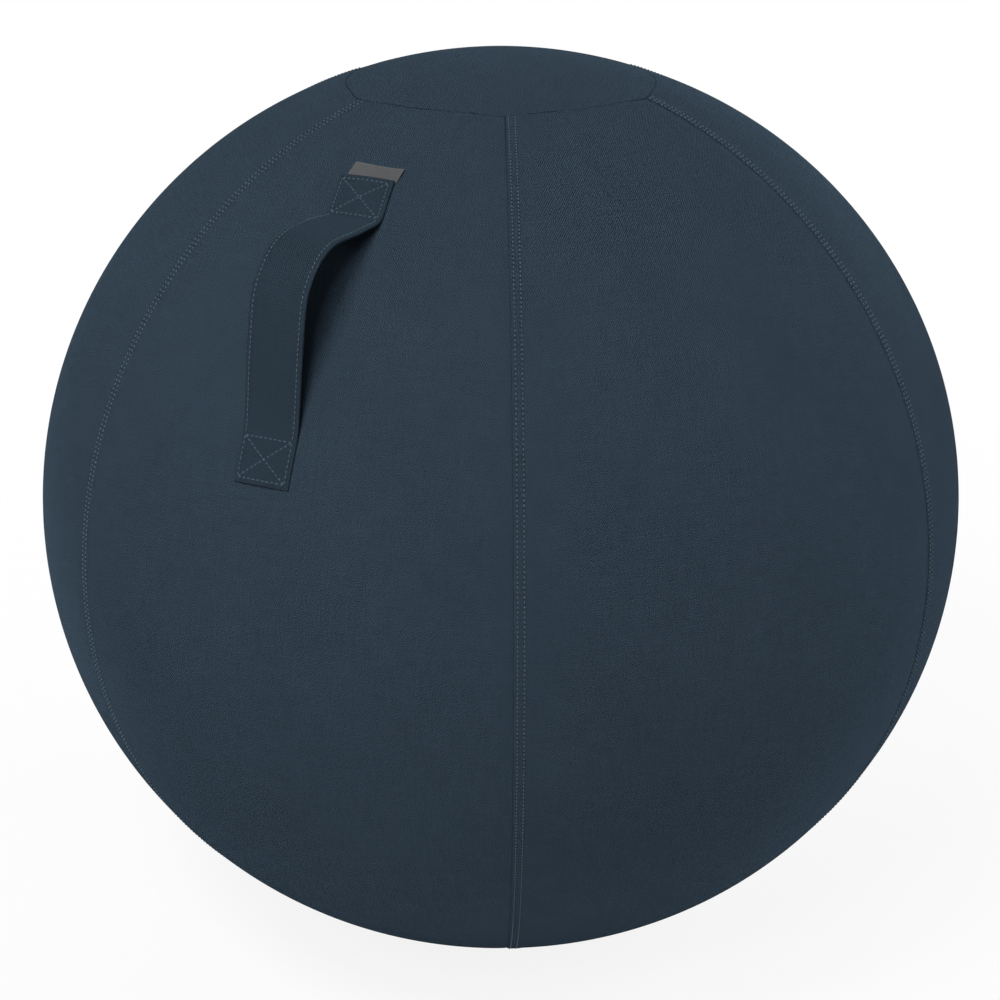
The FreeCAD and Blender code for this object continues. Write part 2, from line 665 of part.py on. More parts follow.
NEAR_EDGE, FAR_EDGE = "Sizes.stop_near", "Sizes.stop_far"
stop("zip_top_stop_left", NEAR_EDGE, FAR_EDGE, "0 - Sizes.top_stop_arc")
stop("zip_top_stop_right", f"(0 - {FAR_EDGE})", f"(0 - {NEAR_EDGE})", "0 - Sizes.top_stop_arc")
stop("zip_bottom_stop", f"(0 - {FAR_EDGE})", FAR_EDGE, "Sizes.zip_arc + Sizes.low_stop_arc")

# Carrying strap: two sewn ends that lie on the cover, and between them a loop that stands out and hangs.
STRAP_PLACE = at_arc_centre(STRAP_TURN)
ON_COVER = f"({PANEL_R} + Sizes.strap_lift)"


def sewn_piece(name, top_angle, low_angle, width, thickness):
    """A patch that follows the cover between two slopes, cut to a width."""
    body = new_body(f"{name}_body")
    band = arc_band(
        body,
        f"{name}_band",
        (ON_COVER, f"({ON_COVER} + {thickness})"),
        (f"(90 deg - {low_angle})", f"(90 deg - {top_angle})"),
    )
    revolve(body, band, "Z_Axis", "24 deg", midplane=True)
    blank = doc.addObject("Part::Box", f"{name}_width")
    blank.setExpression("Width", width)
    blank.setExpression("Length", "Sizes.ball_width")
    blank.setExpression("Height", "Sizes.ball_width")
    blank.setExpression("Placement.Base.y", f"0 - {width} / 2")
    patch = doc.addObject("Part::Common", f"{name}_patch")
    patch.Base = body
    patch.Tool = blank
    keep(patch, name, STRAP_PLACE)


THICK = "Sizes.strap_thickness"
sewn_piece("handle_end_upper", deg("strap_top"), deg("strap_upper_stitch"), "Sizes.strap_width", THICK)
end_start = f"({deg('strap_lower_stitch')} + {deg('stitch_gap')})"
sewn_piece("handle_end_lower", end_start, deg("strap_bottom"), "Sizes.strap_width", THICK)
label_end = f"({deg('strap_top')} - 0.05 deg)"
sewn_piece("handle_label", deg("label_top"), label_end, "Sizes.label_width", "Sizes.label_thickness")

UPPER_TURN, LOWER_TURN = deg("strap_upper_stitch"), deg("strap_lower_stitch")
OUT_HEADING = f"(0 deg - {deg('strap_out_slope')})"
DOWN_HEADING = f"(0 deg - {deg('strap_down_slope')})"


def on_arc(centre, radius, angle):
    """A point at an angle on an arc, as two expressions."""
    return (f"({centre[0]} + {radius} * cos({angle}))", f"({centre[1]} + {radius} * sin({angle}))")


def onward(start, length, heading):
    return on_arc(start, length, heading)


def around(radius, thickness=THICK):
    return (f"({radius} - {thickness} / 2)", f"({radius} + {thickness} / 2)")


BEND_U, BEND_L, KNEE = "Sizes.strap_upper_bend", "Sizes.strap_lower_bend", "Sizes.strap_knee"
bend_u = on_arc(("0", "0"), f"({STRAP_R} + {BEND_U})", f"(90 deg - {UPPER_TURN})")
out_start = on_arc(bend_u, BEND_U, f"({OUT_HEADING} - 90 deg)")
knee_start = onward(out_start, "Sizes.strap_out", OUT_HEADING)
knee_centre = on_arc(knee_start, KNEE, f"({OUT_HEADING} - 90 deg)")
down_start = on_arc(knee_centre, KNEE, f"({DOWN_HEADING} + 90 deg)")
bend_l = on_arc(("0", "0"), f"({STRAP_R} + {BEND_L})", f"(90 deg - {LOWER_TURN})")
down_end = on_arc(bend_l, BEND_L, f"({DOWN_HEADING} - 90 deg)")

leg_u = new_body("handle_leg_upper_body")
pad(
    leg_u,
    arc_band(
        leg_u,
        "leg_upper_bend",
        around(BEND_U),
        (f"(0 deg - 90 deg - {UPPER_TURN})", f"({OUT_HEADING} - 90 deg)"),
        *bend_u,
    ),
    "Sizes.strap_width",
    midplane=True,
)
pad(
    leg_u,
    strip(leg_u, "leg_upper_run", *out_start, OUT_HEADING, "Sizes.leg_upper", THICK),
    "Sizes.strap_width",
    midplane=True,
)
keep(leg_u, "handle_leg_upper", STRAP_PLACE)

grip = new_body("handle_grip_body")
grip_start = onward(out_start, "(Sizes.leg_upper + Sizes.leg_gap)", OUT_HEADING)
grip_out = "(Sizes.strap_out - Sizes.leg_upper - Sizes.leg_gap)"
grip_down = "(Sizes.strap_down - Sizes.leg_lower - Sizes.leg_gap)"
pad(
    grip,
    arc_band(
        grip,
        "grip_knee",
        around(KNEE),
        (f"({DOWN_HEADING} + 90 deg)", f"({OUT_HEADING} + 90 deg)"),
        *knee_centre,
    ),
    "Sizes.strap_width",
    midplane=True,
)
pad(
    grip,
    strip(grip, "grip_out", *grip_start, OUT_HEADING, grip_out, THICK),
    "Sizes.strap_width",
    midplane=True,
)
pad(
    grip,
    strip(grip, "grip_down", *down_start, DOWN_HEADING, grip_down, THICK),
    "Sizes.strap_width",
    midplane=True,
)
keep(grip, "handle_grip", STRAP_PLACE)

leg_l = new_body("handle_leg_lower_body")
leg_l_start = onward(down_end, "(0 - Sizes.leg_lower)", DOWN_HEADING)
pad(
    leg_l,
    arc_band(
        leg_l,
        "leg_lower_bend",
        around(BEND_L),
        (f"({DOWN_HEADING} - 90 deg)", f"(0 deg - 90 deg - {LOWER_TURN})"),
        *bend_l,
    ),
    "Sizes.strap_width",
    midplane=True,
)
pad(
    leg_l,
    strip(leg_l, "leg_lower_run", *leg_l_start, DOWN_HEADING, "Sizes.leg_lower", THICK),
    "Sizes.strap_width",
    midplane=True,
)
keep(leg_l, "handle_leg_lower", STRAP_PLACE)

run_end = [size(part) for part in onward(down_start, "Sizes.strap_down", DOWN_HEADING)]
miss = [round(there - size(part), 3) for there, part in zip(run_end, down_end)]
print("strap end against its lower bend, mm:", miss)

doc.recompute()

# Every object must be sound before anything is written.
for item in doc.Objects:
    if "Invalid" in item.State or "Error" in item.State:
        raise ValueError(f"{item.Name} did not rebuild: {item.State}")
for name, item in PARTS.items():
    if item.Shape.isNull() or not item.Shape.isValid():
        raise ValueError(f"{name} has no sound shape")

os.makedirs("parts", exist_ok=True)
for name, item in PARTS.items():
    item.Shape.exportStep(f"parts/{name}.step")
    box = item.Shape.BoundBox
    low = tuple(round(number, 1) for number in (box.XMin, box.YMin, box.ZMin))
    high = tuple(round(number, 1) for number in (box.XMax, box.YMax, box.ZMax))
    print(f"{name}: solids {len(item.Shape.Solids)}, volume {item.Shape.Volume:.0f}, {low} to {high}")
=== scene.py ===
"""Sitting ball in a sewn cloth cover: its soft pieces, their finishes and the studio."""
import math

import bmesh
import bpy
import numpy as np
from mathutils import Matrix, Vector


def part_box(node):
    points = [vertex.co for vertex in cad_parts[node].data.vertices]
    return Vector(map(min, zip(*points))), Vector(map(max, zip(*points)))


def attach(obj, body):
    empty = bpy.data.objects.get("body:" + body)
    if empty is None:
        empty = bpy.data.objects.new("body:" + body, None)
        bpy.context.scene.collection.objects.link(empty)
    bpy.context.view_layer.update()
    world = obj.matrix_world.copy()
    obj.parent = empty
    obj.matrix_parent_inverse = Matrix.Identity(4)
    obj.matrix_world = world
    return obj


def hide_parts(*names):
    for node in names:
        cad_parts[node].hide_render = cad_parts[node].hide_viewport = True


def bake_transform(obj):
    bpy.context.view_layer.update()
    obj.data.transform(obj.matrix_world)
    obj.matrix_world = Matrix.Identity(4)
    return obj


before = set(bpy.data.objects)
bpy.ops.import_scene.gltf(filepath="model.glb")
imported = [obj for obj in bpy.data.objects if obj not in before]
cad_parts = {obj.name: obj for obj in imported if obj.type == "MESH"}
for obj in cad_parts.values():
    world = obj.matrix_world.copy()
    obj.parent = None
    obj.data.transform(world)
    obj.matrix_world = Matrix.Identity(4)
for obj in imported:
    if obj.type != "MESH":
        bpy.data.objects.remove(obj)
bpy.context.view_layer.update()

bl_info = {
    "name": "Sitting ball",
    "version": (1, 0, 0),
    "blender": (4, 5, 0),
    "location": "3D View > Sidebar > Sitting ball",
    "description": "Dresses the sitting ball: cover, carry strap, zip, base cloth, stitching and studio",
    "category": "Object",
}

# The bodies that the soft pieces may ride on; only the ball is given to any piece.
BALL, HANDLE = "ball", "handle"

SEAM_STEP = math.radians(60.0)
# Each side panel and the azimuth of its left seam: 0 is the strap side, and azimuths grow to the right.
GORES = (
    ("side_panel_rear", math.radians(150.0)),
    ("side_panel_rear_left", math.radians(-150.0)),
    ("side_panel_front_left", math.radians(-90.0)),
    ("side_panel_front", math.radians(-30.0)),
    ("side_panel_front_right", math.radians(30.0)),
    ("side_panel_rear_right", math.radians(90.0)),
)
ZIP_SEAM = math.radians(-150.0)
# Slope by which the zip's tapes run past its opening, in radians.
TAPE_END = 0.02
FULL_TURN = 2.0 * math.pi
GOLDEN_ANGLE = 2.399
# Radius that the strap's sewn ends bend round.
BALL_ROUND = 0.3265
WHITE = (1.0, 1.0, 1.0, 1.0)
# Grid steps: between the fine ones of a side panel, down and across it, round the top and the base,
# along the strap's route, and along a zip tape, over its cord and over its plain part.
PANEL_DOWN = 250
PANEL_ACROSS = 34
ROUND_STEPS = 240
ROUTE_STEPS = 1240
TAPE_STEPS = 260
TAPE_CORD = 7
TAPE_PLAIN = 12
# Grid steps: down one face of the label and across it, down the base's bend and over
# its flat, out from the pouch's middle and round it, and along a side of the floor.
LABEL_DOWN = 14
LABEL_ACROSS = 41
BASE_BEND = 30
BASE_FLAT = 9
POUCH_OUT = 25
POUCH_ROUND = 120
FLOOR_STEPS = 13
# Fine grid steps from the top or base seam, in metres.
SEAM_ROWS = np.array([0.0, 0.25, 0.5, 0.8, 1.2, 1.7, 2.3, 3.0, 4.0, 5.2, 6.6]) * 1e-3


def length(name, default, description):
    """A size property in metres."""
    return bpy.props.FloatProperty(
        name=name, description=description, default=default, precision=5, subtype="DISTANCE", unit="LENGTH")


def angle(name, degrees, description):
    """An angle property, given in degrees."""
    return bpy.props.FloatProperty(
        name=name, description=description, default=math.radians(degrees), subtype="ANGLE", unit="ROTATION")


def number(name, default, description):
    """A plain number property."""
    return bpy.props.FloatProperty(name=name, description=description, default=default, precision=4)


def colour(name, default, description):
    """A linear colour property."""
    return bpy.props.FloatVectorProperty(
        name=name, description=description, default=default, size=3, min=0.0, max=1.0, subtype="COLOR")


class BallSizes(bpy.types.PropertyGroup):
    """The cover's outline and the way its panels meet."""

    panel_arc: length("Panel arc", 0.3185, "Radius of a side panel's arc from crown to base")
    axis_offset: length("Axis offset", 0.0065, "How far the arc's centre stands out from the ball's axis")
    centre_height: length("Centre height", 0.312, "Height of the arc's centre above the floor")
    crown_angle: angle("Crown angle", 18.0, "Slope of the cover where the crown arc begins")
    top_seam: angle("Top seam", 18.2, "Slope of the cover at the round top panel's seam")
    top_corner: angle("Top corner", 0.7, "How much lower the top seam runs where it meets a side seam")
    fullness: length("Fullness", 0.0009, "How far a side panel swells out between its seams")
    crease_depth: length("Crease depth", 0.0004, "How deep a seam draws the cloth in")
    crease_width: length("Crease width", 0.0006, "How far from the seam the crease is felt")
    ridge_height: length("Ridge height", 0.0003, "Height of the folded allowance beside a seam")
    ridge_width: length("Ridge width", 0.0085, "Width of the folded allowance beside a seam")
    shoulder: length("Shoulder", 0.0002, "How far the cloth rolls down on a seam's plain side")
    shoulder_width: length("Shoulder width", 0.005, "How far from the seam that roll is felt")
    pucker: length("Pucker", 0.00009, "Height of the small puckers that the stitching draws")
    pucker_reach: length("Pucker reach", 0.006, "Distance from the seam over which the puckers die away")


class StitchSizes(bpy.types.PropertyGroup):
    """The thread and where its rows run."""

    pitch: length("Pitch", 0.0031, "Distance from one stitch to the next")
    thread: length("Thread", 0.00036, "Radius of the sewing thread")
    reach: length("Reach", 0.0018, "Length of thread that shows in one stitch")
    rise: length("Rise", 0.0003, "How far a stitch stands up in its middle")
    near_row: length("Near row", 0.0021, "Distance of the first topstitch row from its seam")
    far_row: length("Far row", 0.0063, "Distance of the second topstitch row from its seam")
    groove: length("Groove", 0.0003, "How deep a row pulls the cloth in")


class StrapSizes(bpy.types.PropertyGroup):
    """The carry strap's route, its section and the label at its upper end."""

    width: length("Width", 0.040, "Width of the strap")
    thickness: length("Thickness", 0.0024, "Thickness of the doubled strap at its edges")
    crown: length("Crown", 0.0005, "How much thicker the strap is between its two stitch rows")
    lift: length("Lift", 0.00015, "Gap between the sewn ends and the cover")
    top_end: angle("Top end", 31.9, "Slope of the cover under the strap's upper end")
    upper_hold: angle("Upper hold", 37.9, "Slope of the cover where the loop leaves its upper stitching")
    lower_hold: angle("Lower hold", 65.4, "Slope of the cover where the loop comes back to it")
    low_end: angle("Low end", 70.8, "Slope of the cover under the strap's lower end")
    upper_bend: length("Upper bend", 0.006, "Radius of the bend at the upper stitching")
    lower_bend: length("Lower bend", 0.030, "Radius of the bend at the lower stitching")
    out_rise: angle("Out rise", 2.2, "How far the first run rises above level where it leaves the stitching")
    out_slope: angle("Out slope", 1.3, "How far the first run has fallen below level at the knee")
    down_slope: angle("Down slope", 83.2, "How far the second run falls below level")
    out_run: length("Out run", 0.0426, "Straight length of the first run")
    knee: length("Knee", 0.0436, "Radius of the loop's knee")
    down_run: length("Down run", 0.0671, "Straight length of the second run")
    ease: length("Ease", 0.003, "Length over which one bend eases into the next")
    lean_out: length("Lean of the out run", -0.002, "How far the right edge stands above the middle")
    lean_knee: length("Lean of the knee", -0.0003, "How far the right edge stands out there")
    lean_run: length("Lean of the down run", -0.0005, "How far the right edge stands out there")
    sway_top: length("Sway at the top", -0.0006, "How far to the right the strap's upper end is sewn")
    sway_hold: length("Sway at the hold", 0.0059, "How far to the right the loop leaves its upper stitching")
    sway_out: length("Sway of the out run", 0.0052, "How far to the right the first run lies")
    sway_knee: length("Sway of the knee", 0.0041, "How far to the right the knee lies")
    sway_run: length("Sway of the down run", 0.0008, "How far to the right the second run lies")
    sway_end: length("Sway at the end", -0.0003, "How far to the right the strap's lower end is sewn")
    sway_ease: length("Sway ease", 0.006, "Length over which sway and lean are averaged")
    edge_row: length("Edge row", 0.003, "Distance of the long stitch rows from the strap's edges")
    upper_box: length("Upper box", 0.0042, "Distance of the upper stitched box from the strap's upper end")
    lower_box: length("Lower box", 0.0035, "Distance of the lower stitched box from the strap's lower end")
    box_gap: length("Box gap", 0.0004, "Distance of the stitched boxes from where the loop leaves the cover")
    row_gap: length("Row gap", 0.001, "Distance of the loop's rows from where the loop leaves the cover")
    label_top: angle("Label top", 29.95, "Slope of the cover under the label's fold")
    label_foot: angle("Label foot", 31.98, "Slope of the cover under the label's sewn edge")
    label_width: length("Label width", 0.0365, "Width of the folded label")
    label_sway: length("Label sway", 0.0026, "How far to the right the label is sewn")
    label_turn: angle("Label turn", 3.6, "How far the label is turned, with its right end lower")
    label_thickness: length("Label thickness", 0.0008, "Thickness of the folded label")
    label_gap: length("Label gap", 0.0003, "Gap between the label's sewn edge and the cover")
    label_spring: length("Label spring", 0.0005, "How much further the label's fold stands off the cover")
    label_curl: length("Label curl", 0.0007, "How much further the fold's right corner stands off")
    label_flat: length("Label flat", 0.008, "How far to the right of the label's middle the curl begins")


class ZipSizes(bpy.types.PropertyGroup):
    """The zip's opening in the cover and its tapes."""

    opening: length("Opening", 0.006, "Half the width of the gap that shows the zip")
    top: angle("Zip top", 87.4, "Slope of the cover at the top of the opening")
    foot: angle("Zip foot", 153.2, "Slope of the cover at the foot of the opening")
    closing: angle("Closing", 0.7, "Slope over which the opening closes to a plain seam")
    tape_depth: length("Tape depth", 0.0016, "How far the tapes lie below the cover")
    tape_gap: length("Tape gap", 0.0012, "Half the gap between the tapes, under the teeth")
    tape_width: length("Tape width", 0.0118, "Width of one tape")
    tape_sink: length("Tape sink", 0.0002, "How far the cloth of a tape lies below the tape's depth")
    cord_height: length("Cord height", 0.0003, "Height of the cord woven into a tape's inner edge")
    cord_place: length("Cord place", 0.0006, "Distance of that cord's middle from the tape's edge")
    cord_width: length("Cord width", 0.0005, "Half the width of that cord")
    cord_foot: length("Cord foot", 0.002, "Distance from the tape's edge where the plain tape begins")
    edge_row: length("Edge row", 0.0025, "Distance of the topstitch from the folded cloth edge")


class BaseSizes(bpy.types.PropertyGroup):
    """The grip cloth under the ball and the weight pouch on it."""

    grip_height: length("Grip height", 0.0005, "Height of the grip dots")
    grip_radius: length("Grip radius", 0.0013, "Radius of a grip dot")
    grip_step: length("Grip step", 0.0065, "Distance between neighbouring grip dots")
    grip_field: length("Grip field", 0.088, "Radius of the field of grip dots")
    pouch_seam: length("Pouch seam", 0.004, "Width of the flat sewn rim round the weight pouch")
    pouch_rise: number("Pouch rise", 0.35, "Height of that rim, as a share of the pouch's depth")
    pouch_rim: number("Pouch rim", 0.08, "Thickness of that rim, as a share of the depth")
    pouch_lumps: number("Pouch lumps", 0.048, "Height of the filling's lumps, as a share of its depth")


class FinishColours(bpy.types.PropertyGroup):
    """The colours of the cloths, thread, zip and hidden pieces, and of the painted shade, as linear values.
    """

    cover: colour("Cover", (0.0266, 0.0417, 0.0583), "Cover cloth")
    cover_fleck: colour("Cover fleck", (0.0601, 0.0931, 0.1308), "Lighter fibres in the cover cloth")
    # The strap's darker tint is partly its cloth's own tone and partly painted shade for the lesser light its
    # loop gets.
    strap_tone_and_shade: number("Strap tone", 0.82, "How dark the strap cloth is beside the cover cloth")
    strap_contrast: number("Strap contrast", 0.62, "How strong the strap's weave is beside the cover's")
    # Colour of the painted shade in needle holes, along seam creases and on the strap's edges and underside.
    painted_shade: colour("Hollow", (0.0030, 0.0055, 0.0080), "Needle holes, creases and the strap's turned edges")
    thread: colour("Thread", (0.0950, 0.1420, 0.1760), "Sewing thread")
    label: colour("Label", (0.0690, 0.0710, 0.0730), "Woven label")
    base: colour("Base", (0.0120, 0.0125, 0.0135), "Grip cloth under the ball")
    grip: colour("Grip", (0.0200, 0.0205, 0.0215), "Rubber grip dots")
    tape: colour("Tape", (0.0150, 0.0200, 0.0260), "Zip tape")
    teeth: colour("Teeth", (0.0180, 0.0240, 0.0310), "Moulded zip teeth")
    metal: colour("Metal", (0.1900, 0.1950, 0.2050), "Dark plated zip slider and pull")
    skin: colour("Skin", (0.1600, 0.1700, 0.1800), "Vinyl of the inner ball")
    plug: colour("Plug", (0.6200, 0.6200, 0.6000), "Valve plug")
    pouch: colour("Pouch", (0.0600, 0.0580, 0.0520), "Canvas of the weight pouch")


class StageSettings(bpy.types.PropertyGroup):
    """The camera, the floor and the lamps."""

    azimuth: angle("Azimuth", 28.57, "Camera direction round the ball")
    elevation: angle("Elevation", 20.04, "Camera height angle above the ball's centre")
    distance: length("Distance", 1.9708, "Camera distance from the ball's centre")
    lens: number("Lens", 98.37, "Focal length in millimetres on a 36 mm frame")
    aside: number("Aside", -0.0008, "Sideways shift of the camera's frame")
    rise: number("Rise", -0.0039, "Vertical shift of the camera's frame")
    shadow: number("Shadow", 0.88, "Share of the floor's white that shows even in the ball's shadow")
    shadow_near: length("Shadow near", 0.3, "Distance from the ball's foot up to which that share holds")
    shadow_far: length("Shadow far", 1.5, "Distance from the ball's foot where the floor is plain white")
    floor_reach: length("Floor reach", 12.0, "Distance from the ball's foot to each side of the floor")
    key: number("Key", 28.0, "Power of the softbox high at the front left, in watts")
    front: number("Front", 17.5, "Power of the softbox beside the camera, in watts")
    right: number("Right", 37.0, "Power of the wide softbox at the right, in watts")
    left: number("Left", 24.0, "Power of the wide softbox at the far left, in watts")
    back: number("Back", 14.0, "Power of the wide softbox behind the ball, in watts")
    lamp_distance: length("Lamp distance", 2.4, "Distance of every softbox from the ball's centre")
    ambient: number("Ambient", 0.01, "Strength of the even light from all round")
    floor: colour("Floor", (0.9200, 0.9200, 0.9200), "Pale studio floor")


def sizes(name):
    """One of the property groups kept on the scene."""
    return getattr(bpy.context.scene, "sitting_ball_" + name)


def smooth_step(start, end, value):
    """Rises smoothly from 0 at start to 1 at end: t squared times (3 - 2t)."""
    t = np.clip((value - start) / (end - start), 0.0, 1.0)
    return t * t * (3.0 - 2.0 * t)


def bell(value, width):
    """A bell of height 1 at 0: e to the power of minus (value / width) squared."""
    return np.exp(-np.square(value / width))


def unit(vectors):
    """The vectors scaled to length 1."""
    return vectors / np.linalg.norm(vectors, axis=-1, keepdims=True)


def build_mesh(name, points, corners, counts, maps=None, values=None, weld=False):
    """A mesh object from points, the corner list of its faces and each face's corner count.

    maps are UV maps given per point, and values are named numbers kept on the points.
    """
    mesh = bpy.data.meshes.new(name)
    corners = np.ascontiguousarray(corners, dtype=np.int32).ravel()
    counts = np.ascontiguousarray(counts, dtype=np.int32).ravel()
    mesh.vertices.add(len(points))
    mesh.vertices.foreach_set("co", np.ascontiguousarray(points, dtype=np.float32).ravel())
    mesh.loops.add(len(corners))
    mesh.loops.foreach_set("vertex_index", corners)
    mesh.polygons.add(len(counts))
    mesh.polygons.foreach_set("loop_start", np.concatenate([[0], np.cumsum(counts)[:-1]]).astype(np.int32))
    mesh.polygons.foreach_set("use_smooth", np.ones(len(counts), dtype=bool))
    for map_name, flat in (maps or {}).items():
        layer = mesh.uv_layers.new(name=map_name)
        layer.uv.foreach_set("vector", np.asarray(flat, dtype=np.float32)[corners].ravel())
    for value_name, data in (values or {}).items():
        layer = mesh.attributes.new(value_name, "FLOAT", "POINT")
        layer.data.foreach_set("value", np.ascontiguousarray(data, dtype=np.float32).ravel())
    mesh.update(calc_edges=True)
    if weld:
        work = bmesh.new()
        work.from_mesh(mesh)
        bmesh.ops.remove_doubles(work, verts=work.verts, dist=1e-7)
        bmesh.ops.dissolve_degenerate(work, edges=work.edges, dist=1e-8)
        work.to_mesh(mesh)
        work.free()
    mesh.validate()
    piece = bpy.data.objects.new(name, mesh)
    bpy.context.scene.collection.objects.link(piece)
    return piece


def grid_faces(rows, columns, close_columns=False):
    """Corners of a grid's faces. Rows run down and columns to the right, seen from outside."""
    index = np.arange(rows * columns).reshape(rows, columns)
    if close_columns:
        index = np.concatenate([index, index[:, :1]], axis=1)
    faces = np.stack([index[:-1, :-1], index[1:, :-1], index[1:, 1:], index[:-1, 1:]], axis=-1)
    return faces.reshape(-1, 4)


def grid_piece(name, points, maps=None, values=None, close_columns=False, weld=False):
    """A piece from a grid of points, rows down and columns to the right."""
    rows, columns = points.shape[:2]
    faces = grid_faces(rows, columns, close_columns=close_columns)
    flat_maps = {key: data.reshape(-1, 2) for key, data in (maps or {}).items()}
    return build_mesh(
        name, points.reshape(-1, 3), faces, np.full(len(faces), 4), flat_maps, values, weld)


def repeat_shape(name, shape, corners, counts, places, along, across, out):
    """One small shape set down at every place: place + x along + y across + z out, as one mesh."""
    spots = len(places)
    points = (
        places[:, None, :]
        + shape[None, :, 0:1] * along[:, None, :]
        + shape[None, :, 1:2] * across[:, None, :]
        + shape[None, :, 2:3] * out[:, None, :])
    shifted = corners[None, :] + (np.arange(spots) * len(shape))[:, None]
    run = np.repeat(np.arange(spots, dtype=float), len(shape))
    return build_mesh(
        name, points.reshape(-1, 3), shifted, np.tile(counts, spots), None, {"stitch": run})


def facing(azimuth):
    """Outward direction in plan: (sine, minus cosine, 0) of the azimuth."""
    return np.stack([np.sin(azimuth), -np.cos(azimuth), np.zeros_like(azimuth)], axis=-1)


def profile(slope):
    """Centre radius, centre height and radius of the arc that the cover follows at a slope.

    The crown is an arc centred on the axis, the sides an arc set out from it, and below the base
    seam a smaller arc runs level into the flat under the ball. Neighbouring arcs share their tangents.
    """
    ball = sizes("ball")
    turn = ball.crown_angle
    edge_radius = ball.axis_offset + ball.panel_arc * math.sin(turn)
    crown_arc = edge_radius / math.sin(turn)
    crown_height = ball.centre_height + (ball.panel_arc - crown_arc) * math.cos(turn)
    base_height = ball.centre_height - ball.panel_arc * math.cos(turn)
    base_arc = base_height / (1.0 - math.cos(turn))
    flat_radius = edge_radius - base_arc * math.sin(turn)
    crown = slope < turn
    base = slope > math.pi - turn
    centre = np.where(crown, 0.0, np.where(base, flat_radius, ball.axis_offset))
    height = np.where(crown, crown_height, np.where(base, base_arc, ball.centre_height))
    radius = np.where(crown, crown_arc, np.where(base, base_arc, ball.panel_arc))
    return centre, height, radius


def cover_normal(azimuth, slope):
    """Outward normal: the plan direction times the slope's sine, plus its cosine upwards."""
    normal = facing(azimuth) * np.sin(slope)[..., None]
    normal[..., 2] = np.cos(slope)
    return normal


def cover_point(azimuth, slope, lift):
    """A point of the cover: the arc's centre, plus its radius and the lift along the normal."""
    azimuth, slope, lift = np.broadcast_arrays(
        np.asarray(azimuth, dtype=float), np.asarray(slope, dtype=float), np.asarray(lift, dtype=float))
    centre, height, radius = profile(slope)
    point = facing(azimuth) * centre[..., None] + cover_normal(azimuth, slope) * (radius + lift)[..., None]
    point[..., 2] += height
    return point


def cover_radius(slope):
    """Distance of the cover from the ball's axis at a slope."""
    centre, _, radius = profile(np.asarray(slope, dtype=float))
    return centre + radius * np.sin(slope)


def base_arc():
    """Radius of the bend from the base seam into the flat under the ball."""
    return float(profile(np.array([math.pi]))[2][0])


def top_seam_slope(azimuth):
    """Slope of the top seam: nearly a circle, drawn down in a soft corner at each side seam."""
    ball = sizes("ball")
    corner = np.power(0.5 + 0.5 * np.cos(6.0 * (azimuth - SEAM_STEP / 2.0)), 4.0)
    return ball.top_seam + ball.top_corner * corner


def zip_open(slope):
    """1 beside the zip and 0 elsewhere, easing over the closing angle at both ends."""
    opening = sizes("zip")
    start = smooth_step(opening.top - opening.closing, opening.top, slope)
    return start * (1.0 - smooth_step(opening.foot, opening.foot + opening.closing, slope))


def seam_edge(seam, slope, side):
    """Azimuth of a panel's edge at a seam. At the zip it stands back by half the opening."""
    edge = np.full_like(slope, seam)
    if math.isclose(math.remainder(seam - ZIP_SEAM, FULL_TURN), 0.0, abs_tol=1e-6):
        edge = edge + side * sizes("zip").opening * zip_open(slope) / cover_radius(slope)
    return edge


# Where the ridge has risen, as a share of the near row's distance, and where its fall begins and ends, as
# shares of its width.
RIDGE_RISE = 0.8
RIDGE_FALL = (0.85, 1.35)


def ridge_lift(distance):
    """Height beside a seam on its stitched side.

    A crease at the seam, then a low ridge as wide as the folded allowance, with a shallow groove
    under each stitch row.
    """
    ball = sizes("ball")
    stitch = sizes("stitch")
    rise = smooth_step(0.0, stitch.near_row * RIDGE_RISE, distance)
    fall = smooth_step(ball.ridge_width * RIDGE_FALL[0], ball.ridge_width * RIDGE_FALL[1], distance)
    grooves = bell(distance - stitch.near_row, stitch.thread * 2.0)
    grooves = grooves + bell(distance - stitch.far_row, stitch.thread * 2.0)
    crease = ball.crease_depth * bell(distance, ball.crease_width)
    return ball.ridge_height * (rise - fall) - stitch.groove * grooves - crease


def plain_lift(distance):
    """Height beside a seam on its plain side: the crease, and a soft shoulder that rolls into it."""
    ball = sizes("ball")
    crease = ball.crease_depth * bell(distance, ball.crease_width)
    return -crease - ball.shoulder * bell(distance, ball.shoulder_width)


# Share, length and turn of each pucker wave. Round the top they run by a rough radius of its seam, and
# start from a phase of their own.
PUCKER_WAVES = ((1.0, 0.0017, 1.0), (0.7, 0.0026, 2.1), (0.9, 0.0061, 3.3))
TOP_PUCKER_RADIUS = 0.1
TOP_PUCKER_PHASE = 0.4


def pucker_lift(distance, run, phase):
    """Small puckers near a seam: three waves along it, dying away from it."""
    ball = sizes("ball")
    waves = sum(share * np.sin(run / span + turns * phase) for share, span, turns in PUCKER_WAVES)
    return ball.pucker * waves * np.exp(-distance / ball.pucker_reach)


